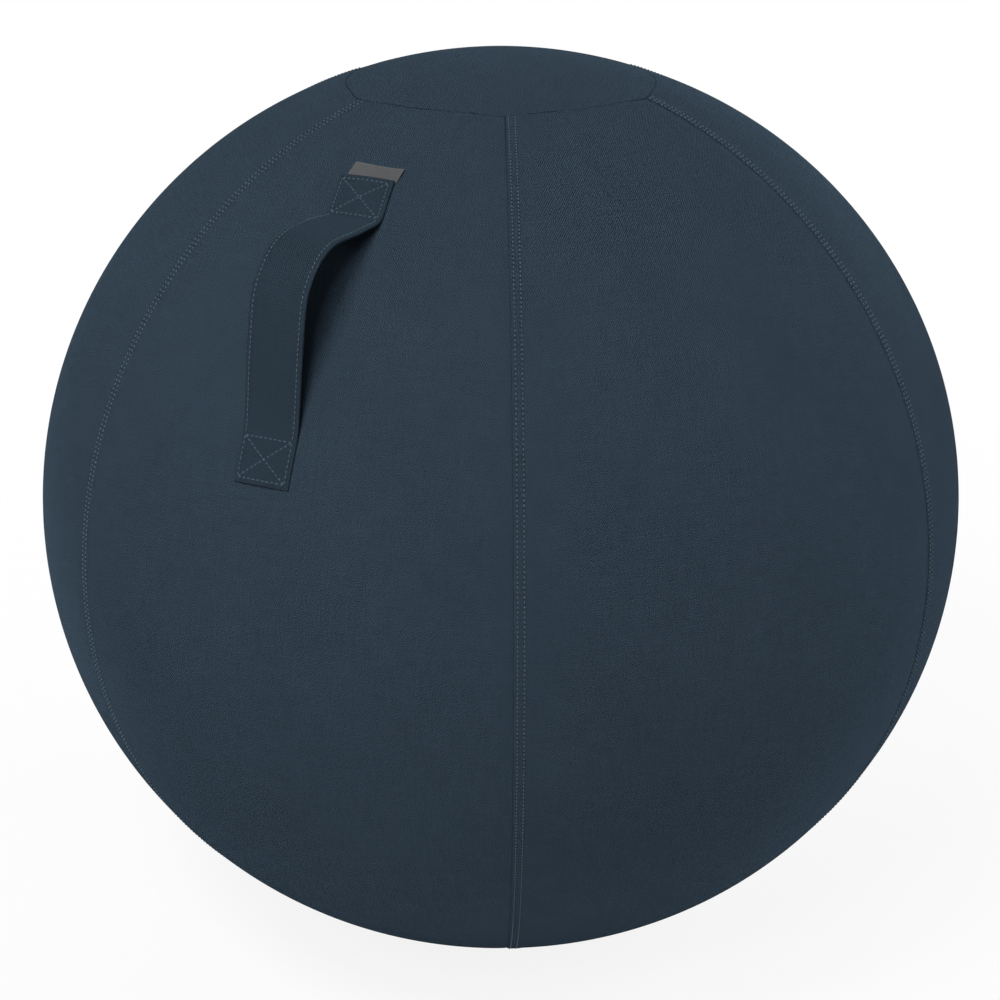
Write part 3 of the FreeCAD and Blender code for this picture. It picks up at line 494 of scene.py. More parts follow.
def edge_steps(count_middle):
    """Grid steps across a panel, finest at both seams.

    Gives each step's distance from the left seam and from the right one, which of the three stretches
    it is in (0 beside the left seam, 1 between, 2 beside the right seam) and its share of the way across.
    """
    near = np.array([0.0, 0.25, 0.5, 0.75, 1.05, 1.4, 1.75, 2.1, 2.45, 2.8, 3.4, 4.2, 5.0, 5.6, 5.95, 6.3,
                     6.65, 7.0, 7.6, 8.4, 9.4, 10.6, 12.2, 14.5]) * 1e-3
    share = np.linspace(0.0, 1.0, count_middle + 2)[1:-1]
    far = np.array([14.5, 11.0, 8.5, 6.5, 5.0, 3.8, 2.9, 2.2, 1.7, 1.3, 0.95, 0.65, 0.4, 0.2, 0.0]) * 1e-3
    left = np.concatenate([near, np.full(len(share), near[-1]), np.zeros(len(far))])
    right = np.concatenate([np.zeros(len(near)), np.full(len(share), far[0]), far])
    kind = np.concatenate([np.zeros(len(near)), np.ones(len(share)), np.full(len(far), 2.0)])
    return left, right, kind, np.concatenate([np.zeros(len(near)), share, np.ones(len(far))])


def panel_rows(count_middle, reach):
    """Shares of the way from one seam to another that lies a reach away, finest at both ends."""
    near = SEAM_ROWS / reach
    middle = np.linspace(near[-1], 1.0 - near[-1], count_middle + 2)[1:-1]
    return np.unique(np.concatenate([near, middle, 1.0 - near]))


def side_panel_grid(left_seam):
    """Points, weave map and edge distances of one side panel.

    Rows follow the slope from the top seam to the base seam, columns the azimuth between two seams.
    Each point is lifted by the seams it is near, by its panel's fullness and by the seam's puckers.
    """
    ball = sizes("ball")
    base_seam = math.pi - ball.crown_angle
    reach = ball.panel_arc * (base_seam - ball.top_seam)
    rows = panel_rows(PANEL_DOWN, reach)
    guide = ball.top_seam + (base_seam - ball.top_seam) * rows
    guide = np.unique(np.concatenate([guide, zip_end_rows(left_seam)]))
    rows = (guide - ball.top_seam) / (base_seam - ball.top_seam)
    left, right, kind, share = edge_steps(PANEL_ACROSS)
    radius = cover_radius(guide)[:, None]
    left_edge = seam_edge(left_seam, guide, 1.0)[:, None]
    right_edge = seam_edge(left_seam + SEAM_STEP, guide, -1.0)[:, None]
    inner_left = left_edge + left[None, :] / radius
    inner_right = right_edge - right[None, :] / radius
    blended = inner_left + (inner_right - inner_left) * share[None, :]
    azimuth = np.where(kind[None, :] == 0.0, inner_left, np.where(kind[None, :] == 2.0, inner_right, blended))
    top = top_seam_slope(azimuth)
    slope = top + (base_seam - top) * rows[:, None]
    from_left = (azimuth - left_edge) * radius
    from_right = (right_edge - azimuth) * radius
    from_top = (slope - top) * ball.panel_arc
    from_base = (base_seam - slope) * ball.panel_arc
    middle = left_seam + SEAM_STEP / 2.0
    width = from_left + from_right
    bulge = 4.0 * from_left * from_right / np.square(width)
    bulge = bulge * np.sin(math.pi * np.clip(rows, 0.0, 1.0))[:, None]
    lift = ridge_lift(from_left) + plain_lift(from_right) + plain_lift(from_top) + plain_lift(from_base)
    lift = lift + ball.fullness * bulge
    lift = lift + pucker_lift(from_left, from_top, left_seam)
    lift = lift + pucker_lift(from_right, from_top, left_seam + 1.0)
    points = cover_point(azimuth, slope, lift)
    weave = np.stack([(azimuth - middle) * radius, -from_top], axis=-1)
    edge = np.minimum(np.minimum(from_left, from_right), np.minimum(from_top, from_base))
    values = {"edge": edge, "ridge": from_left, "run": from_top}
    return points, weave, values


# Grid rows at each end of the zip's opening, and where they begin and end, in closing angles.
ZIP_END_ROWS = 9
ZIP_END_REACH = (-0.2, 1.2)


def zip_end_rows(left_seam):
    """Extra grid rows where the zip's opening begins and ends, for the two panels beside it."""
    beside = (ZIP_SEAM, ZIP_SEAM + FULL_TURN - SEAM_STEP)
    if not any(math.isclose(left_seam, seam, abs_tol=1e-6) for seam in beside):
        return np.zeros(0)
    opening = sizes("zip")
    step = np.linspace(*ZIP_END_REACH, ZIP_END_ROWS) * opening.closing
    return np.concatenate([opening.top - opening.closing + step, opening.foot + step])


class Wire:
    """An output of a node. Arithmetic on it adds Math nodes."""

    def __init__(self, nodes, socket):
        self.nodes = nodes
        self.socket = socket

    def maths(self, operation, first, second=None):
        """Adds a Math node and gives its value."""
        values = {0: first} if second is None else {0: first, 1: second}
        return self.nodes.node("ShaderNodeMath", {"operation": operation}, values)["Value"]

    def __add__(self, other):
        return self.maths("ADD", self, other)

    def __radd__(self, other):
        return self.maths("ADD", other, self)

    def __sub__(self, other):
        return self.maths("SUBTRACT", self, other)

    def __rsub__(self, other):
        return self.maths("SUBTRACT", other, self)

    def __mul__(self, other):
        return self.maths("MULTIPLY", self, other)

    def __rmul__(self, other):
        return self.maths("MULTIPLY", other, self)

    def __pow__(self, other):
        return self.maths("POWER", self, other)

    def __rpow__(self, other):
        return self.maths("POWER", other, self)

    def __abs__(self):
        return self.maths("ABSOLUTE", self)

    def cosine(self):
        return self.maths("COSINE", self)

    def at_least(self, other):
        return self.maths("MAXIMUM", self, other)

    def at_most(self, other):
        return self.maths("MINIMUM", self, other)

    def within_one(self):
        """The value, kept between 0 and 1."""
        return self.at_least(0.0).at_most(1.0)

    def fading(self, reach):
        """1 at 0, falling straight to 0 at the reach."""
        return (1.0 - self * (1.0 / reach)).at_least(0.0)


class Nodes:
    """The nodes of a material or a world."""

    def __init__(self, tree):
        self.tree = tree
        self.tree.nodes.clear()

    def add(self, kind, settings=None, values=None):
        """Adds a node of a kind, sets its settings, then its sockets' values or links."""
        made = self.tree.nodes.new(kind)
        for key, value in (settings or {}).items():
            setattr(made, key, value)
        for key, value in (values or {}).items():
            self.join(self.pick(made.inputs, key), value)
        return made

    def node(self, kind, settings=None, values=None):
        """Adds a node and gives its outputs by name, as wires."""
        made = self.add(kind, settings, values)
        return {socket.name: Wire(self, socket) for socket in made.outputs if socket.enabled}

    def pick(self, sockets, key):
        """A socket by number, or by name among those in use."""
        if isinstance(key, int):
            return sockets[key]
        return next(socket for socket in sockets if socket.name == key and socket.enabled)

    def join(self, socket, value):
        """Links a wire to a socket, or sets the socket's own value."""
        if isinstance(value, Wire):
            self.tree.links.new(value.socket, socket)
        else:
            socket.default_value = value

    def seen(self):
        """1 for what the camera sees, directly, in a mirror or through glass, and 0 for light on things."""
        path = self.node("ShaderNodeLightPath")
        return path["Is Camera Ray"].at_least(path["Is Glossy Ray"]).at_least(path["Is Transmission Ray"])


class Finish(Nodes):
    """A material and its nodes."""

    def __init__(self, name, **constants):
        self.material = bpy.data.materials.new(name)
        if self.material.name != name:
            raise RuntimeError("a material named " + name + " is already there")
        self.material.use_nodes = True
        super().__init__(self.material.node_tree)
        values = {key.replace("_", " "): value for key, value in constants.items()}
        self.shader = self.add("ShaderNodeBsdfPrincipled", None, values)
        self.surface = Wire(self, self.shader.outputs["BSDF"])
        self.output = self.add("ShaderNodeOutputMaterial", None, {"Surface": self.surface})

    def feed(self, socket_name, value):
        """Joins a value or wire to the surface shader."""
        self.join(self.shader.inputs[socket_name], value)

    def blend_colours(self, factor, first, second):
        """A colour between two colours or wires."""
        values = {"Factor": factor, "A": opaque(first), "B": opaque(second)}
        return self.node("ShaderNodeMix", {"data_type": "RGBA"}, values)["Result"]

    def noise(self, vector, scale, detail=2.0, roughness=0.5):
        """A noise value about 0.5 at a point of space or of the flat cloth."""
        values = {"Vector": vector, "Scale": scale, "Detail": detail, "Roughness": roughness}
        return self.node("ShaderNodeTexNoise", {"noise_dimensions": "3D"}, values)["Fac"]

    def stretch(self, vector, factors):
        """A vector with each part multiplied by its own factor."""
        values = {0: vector, 1: factors}
        return self.node("ShaderNodeVectorMath", {"operation": "MULTIPLY"}, values)["Vector"]

    def flat_place(self):
        """The place on the flat cloth, in metres, from the piece's weave map."""
        return self.node("ShaderNodeUVMap", {"uv_map": "weave"})["UV"]

    def place(self):
        """The place in space, in metres."""
        return self.node("ShaderNodeTexCoord")["Object"]

    def parts(self, vector):
        """The three numbers of a vector."""
        found = self.node("ShaderNodeSeparateXYZ", None, {"Vector": vector})
        return found["X"], found["Y"], found["Z"]

    def point_value(self, name):
        """A number kept on the piece's points."""
        return self.node("ShaderNodeAttribute", {"attribute_name": name})["Fac"]

    def bump(self, height, strength, distance):
        """Raises the surface by a height."""
        values = {"Height": height, "Strength": strength, "Distance": distance}
        self.feed("Normal", self.node("ShaderNodeBump", None, values)["Normal"])


def opaque(value):
    """A colour with its alpha, or the wire as it is."""
    return value if isinstance(value, Wire) else (*value, 1.0)


def tinted(tone, factor):
    """A colour made darker or lighter by a factor."""
    return tuple(min(1.0, factor * part) for part in tone)


# Yarn widths of the cover cloth across and along it.
WEAVE_ACROSS = 0.00078
WEAVE_ALONG = 0.00088
# Yarn width of the pouch's canvas.
CANVAS_YARN = 0.0008
# Noise that pushes the yarns out of line: waves in a metre, and the greatest push as a turn in radians.
PUSH_SCALE = 260.0
PUSH_TURN = 3.0
# How much each part of the weave counts in its tone, and the tone that they vary.
SLUB_SHARE = 2.2
FLECK_SHARE = 3.4
YARN_SHARE = 0.30
MOUND_SHARE = 0.62
RIB_SHARE = 0.06
CLOUD_SHARE = 0.14
MIDDLE_TONE = 0.36
# How dark the darkest yarns are beside the cloth's own colour.
DARK_YARN = 0.35
# How far the painted shade of a needle hole and of a crease reaches, and how far below the top seam the
# crease's painted shade is stronger.
HOLE_REACH = 0.0009
CREASE_SHADE_REACH = 0.0007
TOP_SHADE_REACH = 0.07
# How strong the painted shade of needle holes, of creases, of creases near the top and of the strap's edges
# and underside is.
HOLE_SHADE = 0.9
CREASE_SHADE = 0.1
TOP_CREASE_SHADE = 0.5
EDGE_SHADE_STRENGTH = 0.7


def woven(finish, base, fleck, across=WEAVE_ACROSS, along=WEAVE_ALONG, contrast=1.0):
    """A plain weave of melange yarn: gives its colour and its height.

    Each crossing is a small mound, the product of two cosines of the yarn counts, and the weft
    stands up in low ribs. A noise pushes the yarns a little out of line. Dark and light fibres lie in
    short slubs of a few yarns, finer flecks break them up, yarns differ in tone along their length,
    and the whole cloth varies slowly in tone.
    """
    flat = finish.flat_place()
    u, v, _ = finish.parts(flat)
    push = (finish.noise(flat, PUSH_SCALE, 1.0) - 0.5) * PUSH_TURN
    warp = (u * (math.pi / across) + push).cosine()
    weft = (v * (math.pi / along) + push).cosine()
    mounds = warp * weft
    ribs = (v * (FULL_TURN / (1.8 * along)) + push).cosine()
    slubs = finish.noise(finish.stretch(flat, (0.9 / across, 1.1 / along, 1.0)), 1.0, 1.0, 0.6)
    flecks = finish.noise(finish.stretch(flat, (1.6 / across, 1.8 / along, 1.0)), 1.0, 1.0, 0.6)
    warp_tone = finish.noise(finish.stretch(flat, (0.6 / across, 40.0, 1.0)), 1.0, 1.0, 0.6)
    weft_tone = finish.noise(finish.stretch(flat, (40.0, 0.6 / along, 1.0)), 1.0, 1.0, 0.6)
    cloud = finish.noise(flat, 14.0, 3.0)
    grain = (slubs - 0.5) * SLUB_SHARE + (flecks - 0.5) * FLECK_SHARE
    grain = grain + (warp_tone + weft_tone - 1.0) * YARN_SHARE
    relief = grain + mounds * MOUND_SHARE + ribs * RIB_SHARE
    tone = relief * contrast + (cloud - 0.5) * CLOUD_SHARE + MIDDLE_TONE
    shade = finish.blend_colours(tone.within_one(), tinted(base, DARK_YARN), fleck)
    return shade, mounds * 0.5 + flecks * 0.6 + slubs * 0.5


def cover_finish(name, stitched=True):
    """Melange upholstery cloth with a soft sheen.

    Stitched cloth has painted shade in its needle holes and along the crease at its seams, stronger just
    below the top seam, and the strap has painted shade on its edges and underside.
    """
    colours = sizes("colours")
    stitch = sizes("stitch")
    ball = sizes("ball")
    finish = Finish(
        name, Sheen_Weight=0.06, Sheen_Roughness=0.30, Sheen_Tint=(0.45, 0.72, 1.0, 1.0),
        Specular_IOR_Level=0.0)
    # Partly painted shade: the whole strap is a darker copy of the cover cloth.
    tone = 1.0 if stitched else colours.strap_tone_and_shade
    contrast = 1.0 if stitched else colours.strap_contrast
    base, fleck = tinted(colours.cover, tone), tinted(colours.cover_fleck, tone)
    shade, height = woven(finish, base, fleck, contrast=contrast)
    if stitched:
        ridge = finish.point_value("ridge")
        run = finish.point_value("run")
        between = 0.5 - ball.top_corner * ball.panel_arc / stitch.pitch
        beat = ((run * (1.0 / stitch.pitch) - between) * FULL_TURN).cosine() * 0.5 + 0.5
        near = abs(ridge - stitch.near_row).at_most(abs(ridge - stitch.far_row))
        # Painted shade in the needle holes between the stitches of each row.
        painted_hole_shade = near.fading(HOLE_REACH) * beat ** 2.0
        # Painted shade along the crease at every seam, stronger just below the top seam.
        crease = finish.point_value("edge").fading(CREASE_SHADE_REACH)
        upper = run.fading(TOP_SHADE_REACH)
        shade = finish.blend_colours(painted_hole_shade * HOLE_SHADE, shade, tuple(colours.painted_shade))
        crease = crease * (upper * TOP_CREASE_SHADE + CREASE_SHADE)
        shade = finish.blend_colours(crease, shade, tuple(colours.painted_shade))
    else:
        # Painted shade on the strap's edges and underside, kept on its points as fold.
        fold = finish.point_value("fold") * EDGE_SHADE_STRENGTH
        shade = finish.blend_colours(fold, shade, tuple(colours.painted_shade))
    finish.feed("Base Color", shade)
    finish.feed("Roughness", height * 0.12 + 0.74)
    finish.bump(height, 0.55, 0.00035)


def canvas_finish(name, base, light, yarns, roughness, depth, sheen):
    """A plain woven cloth, with how light its fibres are, its yarn widths, roughness, depth and sheen."""
    finish = Finish(name, Sheen_Weight=sheen)
    shade, height = woven(finish, tuple(base), tinted(base, light), *yarns)
    finish.feed("Base Color", shade)
    finish.feed("Roughness", height * 0.1 + roughness)
    finish.bump(height, 0.5, depth)


def thread_finish(name):
    """Spun sewing thread: fine fibres, and some stitches a little lighter than others."""
    colours = sizes("colours")
    finish = Finish(name, Specular_IOR_Level=0.06)
    fibres = finish.noise(finish.place(), 2600.0, 2.0, 0.6)
    each = (finish.point_value("stitch") * GOLDEN_ANGLE).cosine()
    tone = ((fibres - 0.5) * 0.9 + each * 0.14 + 0.5).within_one()
    shade = finish.blend_colours(tone, tinted(colours.thread, 0.62), tinted(colours.thread, 1.3))
    finish.feed("Base Color", shade)
    finish.feed("Roughness", fibres * 0.2 + 0.5)
    finish.bump(fibres, 0.4, 0.0001)


# Widths of the label's satin ribs and of the painted highlight along its edges.
LABEL_RIB = 0.00045
LABEL_HIGHLIGHT = 0.0010


def label_finish(name):
    """Smooth woven label: fine satin ribs across it and a painted highlight along its sides and fold."""
    colours = sizes("colours")
    finish = Finish(name, Sheen_Weight=0.05, Specular_IOR_Level=0.12)
    flat = finish.flat_place()
    _, v, _ = finish.parts(flat)
    ribs = (v * (FULL_TURN / LABEL_RIB)).cosine()
    fibres = finish.noise(finish.stretch(flat, (400.0, 2200.0, 1.0)), 1.0, 2.0, 0.6)
    # Painted highlight: the label's sides and fold are made paler.
    rim = finish.point_value("edge").fading(LABEL_HIGHLIGHT)
    tone = ((fibres - 0.5) * 0.9 + ribs * 0.12 + 0.45).within_one()
    shade = finish.blend_colours(tone, tinted(colours.label, 0.7), tinted(colours.label, 1.35))
    shade = finish.blend_colours(rim * 0.45, shade, tinted(colours.label, 2.2))
    finish.feed("Base Color", shade)
    finish.feed("Roughness", fibres * 0.15 + 0.5)
    finish.bump(ribs * 0.5 + fibres, 0.35, 0.0002)


def plain_finish(name, base, roughness, grain, depth, **constants):
    """A moulded or coated surface: fine grain, a slow drift of tone, and roughness that follows both."""
    finish = Finish(name, **constants)
    place = finish.place()
    fine = finish.noise(place, grain, 3.0, 0.6)
    slow = finish.noise(place, 35.0, 2.0)
    tone = ((fine - 0.5) * 0.5 + (slow - 0.5) * 0.7 + 0.5).within_one()
    finish.feed("Base Color", finish.blend_colours(tone, tinted(base, 0.8), tinted(base, 1.22)))
    finish.feed("Roughness", (fine - 0.5) * 0.22 + (slow - 0.5) * 0.16 + roughness)
    finish.bump(fine, 0.4, depth)


# Width of the tape's herringbone and of its ribs.
TAPE_TURN = 0.0034
TAPE_RIB = 0.0008


def tape_finish(name):
    """Herringbone zip tape: slanted ribs that turn back every few yarns."""
    base = sizes("colours").tape
    finish = Finish(name, Sheen_Weight=0.12)
    u, v, _ = finish.parts(finish.flat_place())
    fold = abs((u * (FULL_TURN / TAPE_TURN)).cosine())
    ribs = (v * (FULL_TURN / TAPE_RIB) + fold * 4.0).cosine()
    fibres = finish.noise(finish.place(), 1800.0, 2.0, 0.6)
    tone = (ribs * 0.2 + (fibres - 0.5) * 0.8 + 0.5).within_one()
    shade = finish.blend_colours(tone, tinted(base, 0.6), tinted(base, 1.5))
    finish.feed("Base Color", shade)
    finish.feed("Roughness", fibres * 0.15 + 0.68)
    finish.bump(ribs * 0.5 + fibres * 0.5, 0.5, 0.0002)


def give(piece, material, body, slot, *nodes):
    """Finishes a piece, sets the body it rides on and the nodes it stands for."""
    piece.data.materials.append(material)
    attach(piece, body)
    if nodes:
        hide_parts(*nodes)


def refinish(node, material):
    """Gives a node of the frame a finer material."""
    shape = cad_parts[node]
    shape.data.materials.clear()
    shape.data.materials.append(material)


# Sides of a stitch's and of a grip dot's round section.
STITCH_SIDES = 6
DOT_SIDES = 8
# How far a stitch slants to its row, as a share of its length.
STITCH_SLANT = 0.12
# How far a stitch lies above the cover and below the strap's face, in thread radii.
COVER_STITCH_LIFT = 0.2
STRAP_STITCH_SINK = 0.1
# How many stitches before a seam the rows beside the side seams end.
ROW_END = 1.5


def tube_faces(rings, sides):
    """Numbers of the points of rings stacked upwards, of their next points, and the faces between rings."""
    index = np.arange(rings * sides).reshape(rings, sides)
    following = np.roll(index, -1, axis=1)
    faces = np.stack([index[:-1], following[:-1], following[1:], index[1:]], axis=-1).reshape(-1, 4)
    return index, following, faces


def stitch_shape():
    """One stitch: a thread lying along x, round in section, arched up in its middle and closed at its ends.

    At t from -1 to 1 its radius is the thread's times the fourth root of (1 - t squared), and its
    middle stands at the rise times (1 - t squared).
    """
    stitch = sizes("stitch")
    t = np.array([-0.8, 0.0, 0.8])[:, None]
    turn = np.linspace(0.0, FULL_TURN, STITCH_SIDES, endpoint=False)[None, :]
    radius = stitch.thread * np.sqrt(np.sqrt(1.0 - t * t))
    x = 0.5 * stitch.reach * t + np.zeros_like(turn)
    z = stitch.rise * (1.0 - t * t) + radius * np.sin(turn)
    rings = np.stack([x, radius * np.cos(turn), z], axis=-1).reshape(-1, 3)
    tips = np.array([[-0.5 * stitch.reach, 0.0, -0.1 * stitch.thread], [0.5 * stitch.reach, 0.0, 0.0]])
    shape = np.concatenate([rings, tips])
    index, following, sides = tube_faces(len(t), STITCH_SIDES)
    first = np.stack([np.full(STITCH_SIDES, len(rings)), following[0], index[0]], axis=-1)
    last = np.stack([np.full(STITCH_SIDES, len(rings) + 1), index[-1], following[-1]], axis=-1)
    corners = np.concatenate([sides.ravel(), first.ravel(), last.ravel()])
    counts = np.concatenate([np.full(len(sides), 4), np.full(len(first) + len(last), 3)])
    return shape, corners, counts


def sew(name, places, along, out):
    """Stitches at the places, each lying along its row with a slight slant."""
    along = unit(along - np.sum(along * out, axis=-1, keepdims=True) * out)
    across = np.cross(out, along)
    lying = unit(along + STITCH_SLANT * across)
    shape, corners, counts = stitch_shape()
    piece = repeat_shape(name, shape, corners, counts, places, lying, np.cross(out, lying), out)
    piece.data.materials.append(bpy.data.materials["sewing_thread"])
    return piece


# How deep the row beside the zip lies in the cloth, and the step that gives a row's direction.
ZIP_EDGE_SINK = 0.0001
SMALL_STEP = 1e-4


def seam_stitches(seam, distances, start, end, side):
    """Places, directions and normals of stitches that follow a seam at set distances from it."""
    stitch = sizes("stitch")
    ball = sizes("ball")
    count = int((end - start) * ball.panel_arc / stitch.pitch)
    slope = start + (np.arange(count) + 0.5) * stitch.pitch / ball.panel_arc
    found = []
    for distance in distances:
        azimuth = seam_edge(seam, slope, side) + side * distance / cover_radius(slope)
        lift = ridge_lift(np.full_like(slope, distance)) if side > 0 else np.full_like(slope, -ZIP_EDGE_SINK)
        lift = lift + stitch.thread * COVER_STITCH_LIFT
        place = cover_point(azimuth, slope, lift)
        ahead = cover_point(azimuth, slope + SMALL_STEP, lift)
        found.append((place, ahead - place, cover_normal(azimuth, slope)))
    return tuple(np.concatenate(group) for group in zip(*found))


# Each plain cloth: its colour, how light its fibres are, its yarn widths, roughness, depth and sheen.
CANVAS_FINISHES = {
    "base_grip_cloth": ("base", 2.0, (WEAVE_ACROSS, WEAVE_ALONG), 0.7, 0.0003, 0.08),
    "pouch_canvas": ("pouch", 1.8, (CANVAS_YARN, CANVAS_YARN), 0.75, 0.0004, 0.1),
}
# Each moulded or coated finish: its colour, roughness, grains in a metre, their depth and other values.
PLAIN_FINISHES = {
    "grip_rubber": ("grip", 0.62, 1500.0, 0.0001, {}),
    "zip_teeth_nylon": ("teeth", 0.38, 1500.0, 0.00005, {}),
    "zip_dark_metal": ("metal", 0.34, 900.0, 0.00003, {"Metallic": 1.0}),
    "ball_vinyl": ("skin", 0.45, 300.0, 0.0003, {"Coat_Weight": 0.1}),
    "plug_moulding": ("plug", 0.4, 700.0, 0.0001, {}),
}


class SITTINGBALL_OT_finishes(bpy.types.Operator):
    """Make the cloth, thread, zip and plastic finishes"""

    bl_idname = "sitting_ball.finishes"
    bl_label = "Finishes"

    def execute(self, context):
        colours = sizes("colours")
        cover_finish("cover_weave")
        cover_finish("strap_weave", stitched=False)
        thread_finish("sewing_thread")
        label_finish("label_weave")
        tape_finish("zip_tape_cloth")
        for name, (tone, *looks) in CANVAS_FINISHES.items():
            canvas_finish(name, getattr(colours, tone), *looks)
        for name, (tone, *looks, others) in PLAIN_FINISHES.items():
            plain_finish(name, getattr(colours, tone), *looks, **others)
        return {"FINISHED"}


class SITTINGBALL_OT_side_panels(bpy.types.Operator):
    """Make the six side panels of the cover"""

    bl_idname = "sitting_ball.side_panels"
    bl_label = "Side panels"

    def execute(self, context):
        cloth = bpy.data.materials["cover_weave"]
        for node, left_seam in GORES:
            points, weave, values = side_panel_grid(left_seam)
            piece = grid_piece(node.replace("side_panel", "cloth"), points, {"weave": weave}, values)
            give(piece, cloth, BALL, "cover_cloth", node)
        return {"FINISHED"}


class SITTINGBALL_OT_top_panel(bpy.types.Operator):
    """Make the round top panel of the cover"""

    bl_idname = "sitting_ball.top_panel"
    bl_label = "Top panel"

    def execute(self, context):
        """Rings from the axis out to the top seam, on the crown's arc.

        They stand up by the fullness times (1 - share squared), and the seam draws the edge in.
        """
        ball = sizes("ball")
        reach = ball.panel_arc * ball.top_seam
        share = np.concatenate([[0.0, 0.02], panel_rows(PANEL_ACROSS, reach)[len(SEAM_ROWS):]])
        azimuth = np.linspace(0.0, FULL_TURN, ROUND_STEPS, endpoint=False)
        seam = top_seam_slope(azimuth)
        slope = share[:, None] * seam[None, :]
        from_edge = (seam[None, :] - slope) * ball.panel_arc
        lift = plain_lift(from_edge) + ball.fullness * (1.0 - np.square(share))[:, None]
        lift = lift + pucker_lift(from_edge, azimuth[None, :] * TOP_PUCKER_RADIUS, TOP_PUCKER_PHASE)
        points = cover_point(azimuth[None, :], slope, lift)
        weave = points[..., :2].copy()
        values = {"edge": from_edge, "ridge": np.full_like(from_edge, 1.0), "run": from_edge}
        piece = grid_piece("cloth_top", points, {"weave": weave}, values, close_columns=True, weld=True)
        give(piece, bpy.data.materials["cover_weave"], BALL, "cover_cloth", "top_panel")
        return {"FINISHED"}


class SITTINGBALL_OT_seam_stitching(bpy.types.Operator):
    """Sew the double topstitch beside every side seam and the single row beside the zip"""

    bl_idname = "sitting_ball.seam_stitching"
    bl_label = "Seam stitching"

    def execute(self, context):
        ball = sizes("ball")
        stitch = sizes("stitch")
        opening = sizes("zip")
        base_seam = math.pi - ball.crown_angle
        start = ball.top_seam + ROW_END * stitch.pitch / ball.panel_arc
        end = base_seam - ROW_END * stitch.pitch / ball.panel_arc
        rows = (stitch.near_row, stitch.far_row)
        runs = {
            node.replace("side_panel", "stitches"): (seam, rows, start, end, 1.0) for node, seam in GORES}
        runs["stitches_zip_edge"] = (ZIP_SEAM, (opening.edge_row,), opening.top, opening.foot, -1.0)
        for name, run in runs.items():
            piece = sew(name, *seam_stitches(*run))
            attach(piece, BALL)
        return {"FINISHED"}


def strap_route():
    """The strap's middle line: places out from the axis and up, headings and distances along it.

    The heading starts along the cover, and turns by the curvature of one stretch after another:
    along the cover, up off it, straight out, round the knee, straight down, back and along the cover.
    Curvature is eased where stretches meet, and the small miss at the end is spread along the loop.
    """
    ball = sizes("ball")
    strap = sizes("strap")
    cover_arc = ball.panel_arc + strap.lift + strap.thickness / 2.0
    leave = strap.upper_hold + strap.out_rise
    meet = strap.down_slope - strap.lower_hold
    round_knee = strap.down_slope - strap.out_slope
    lengths = np.array([
        cover_arc * (strap.upper_hold - strap.top_end), strap.upper_bend * leave, strap.out_run,
        strap.knee * round_knee, strap.down_run, strap.lower_bend * meet,
        cover_arc * (strap.low_end - strap.lower_hold)])
    bends = np.array([
        -1.0 / cover_arc, 1.0 / strap.upper_bend, -(strap.out_rise + strap.out_slope) / strap.out_run,
        -1.0 / strap.knee, 0.0, 1.0 / strap.lower_bend, -1.0 / cover_arc])
    total = lengths.sum()
    distance = np.linspace(0.0, total, ROUTE_STEPS + 1)
    step = distance[1] - distance[0]
    stretch = np.clip(np.searchsorted(np.cumsum(lengths), distance + step / 2.0), 0, len(bends) - 1)
    reach = int(3.0 * strap.ease / step)
    kernel = bell(np.arange(-reach, reach + 1) * step, strap.ease)
    bend = np.convolve(np.pad(bends[stretch], reach, mode="edge"), kernel / kernel.sum(), mode="valid")
    heading = -strap.top_end + np.concatenate([[0.0], np.cumsum(bend[:-1] * step)])
    moves = np.stack([np.cos(heading), np.sin(heading)], axis=-1)
    moves = 0.5 * (moves[1:] + moves[:-1]) * step
    start = np.array([
        ball.axis_offset + cover_arc * math.sin(strap.top_end),
        ball.centre_height + cover_arc * math.cos(strap.top_end)])
    goal = np.array([
        ball.axis_offset + cover_arc * math.sin(strap.low_end),
        ball.centre_height + cover_arc * math.cos(strap.low_end)])
    places = start + np.concatenate([np.zeros((1, 2)), np.cumsum(moves, axis=0)])
    marks = np.concatenate([[0.0], np.cumsum(lengths)])
    miss = (goal - places[-1])[None, :] * smooth_step(marks[1], marks[6], distance)[:, None]
    return distance, places + miss, heading, marks


# How far down the second run its sway and lean are given, and the places that they are averaged over.
RUN_STATION = 0.03
SWAY_PLACES = 25


def strap_sway(distance, marks):
    """How far to the right the strap lies along its route, and how far its right edge leans out.

    Both run straight between a few stations and are then averaged over a short length.
    """
    strap = sizes("strap")
    out = 0.5 * (marks[2] + marks[3])
    knee = 0.5 * (marks[3] + marks[4])
    stations = np.array([marks[0], marks[1], out, knee, marks[4] + RUN_STATION, marks[6], marks[7]])
    sway = np.array([
        strap.sway_top, strap.sway_hold, strap.sway_out, strap.sway_knee, strap.sway_run, 0.0,
        strap.sway_end])
    lean = np.array([0.0, 0.0, strap.lean_out, strap.lean_knee, strap.lean_run, 0.0, 0.0])
    spread = np.linspace(-2.0 * strap.sway_ease, 2.0 * strap.sway_ease, SWAY_PLACES)
    weights = bell(spread, strap.sway_ease) / bell(spread, strap.sway_ease).sum()
    near = distance[..., None] + spread
    slope = (sway[1] - sway[0]) / (stations[1] - stations[0])
    early = np.minimum(near - stations[0], 0.0) * slope
    return (np.interp(near, stations, sway) + early) @ weights, np.interp(near, stations, lean) @ weights


# Half the length over which the strap goes from bent round the ball to level, and where its foot starts that.
HOLD_EASE = 0.006
HOLD_GAP = 0.002


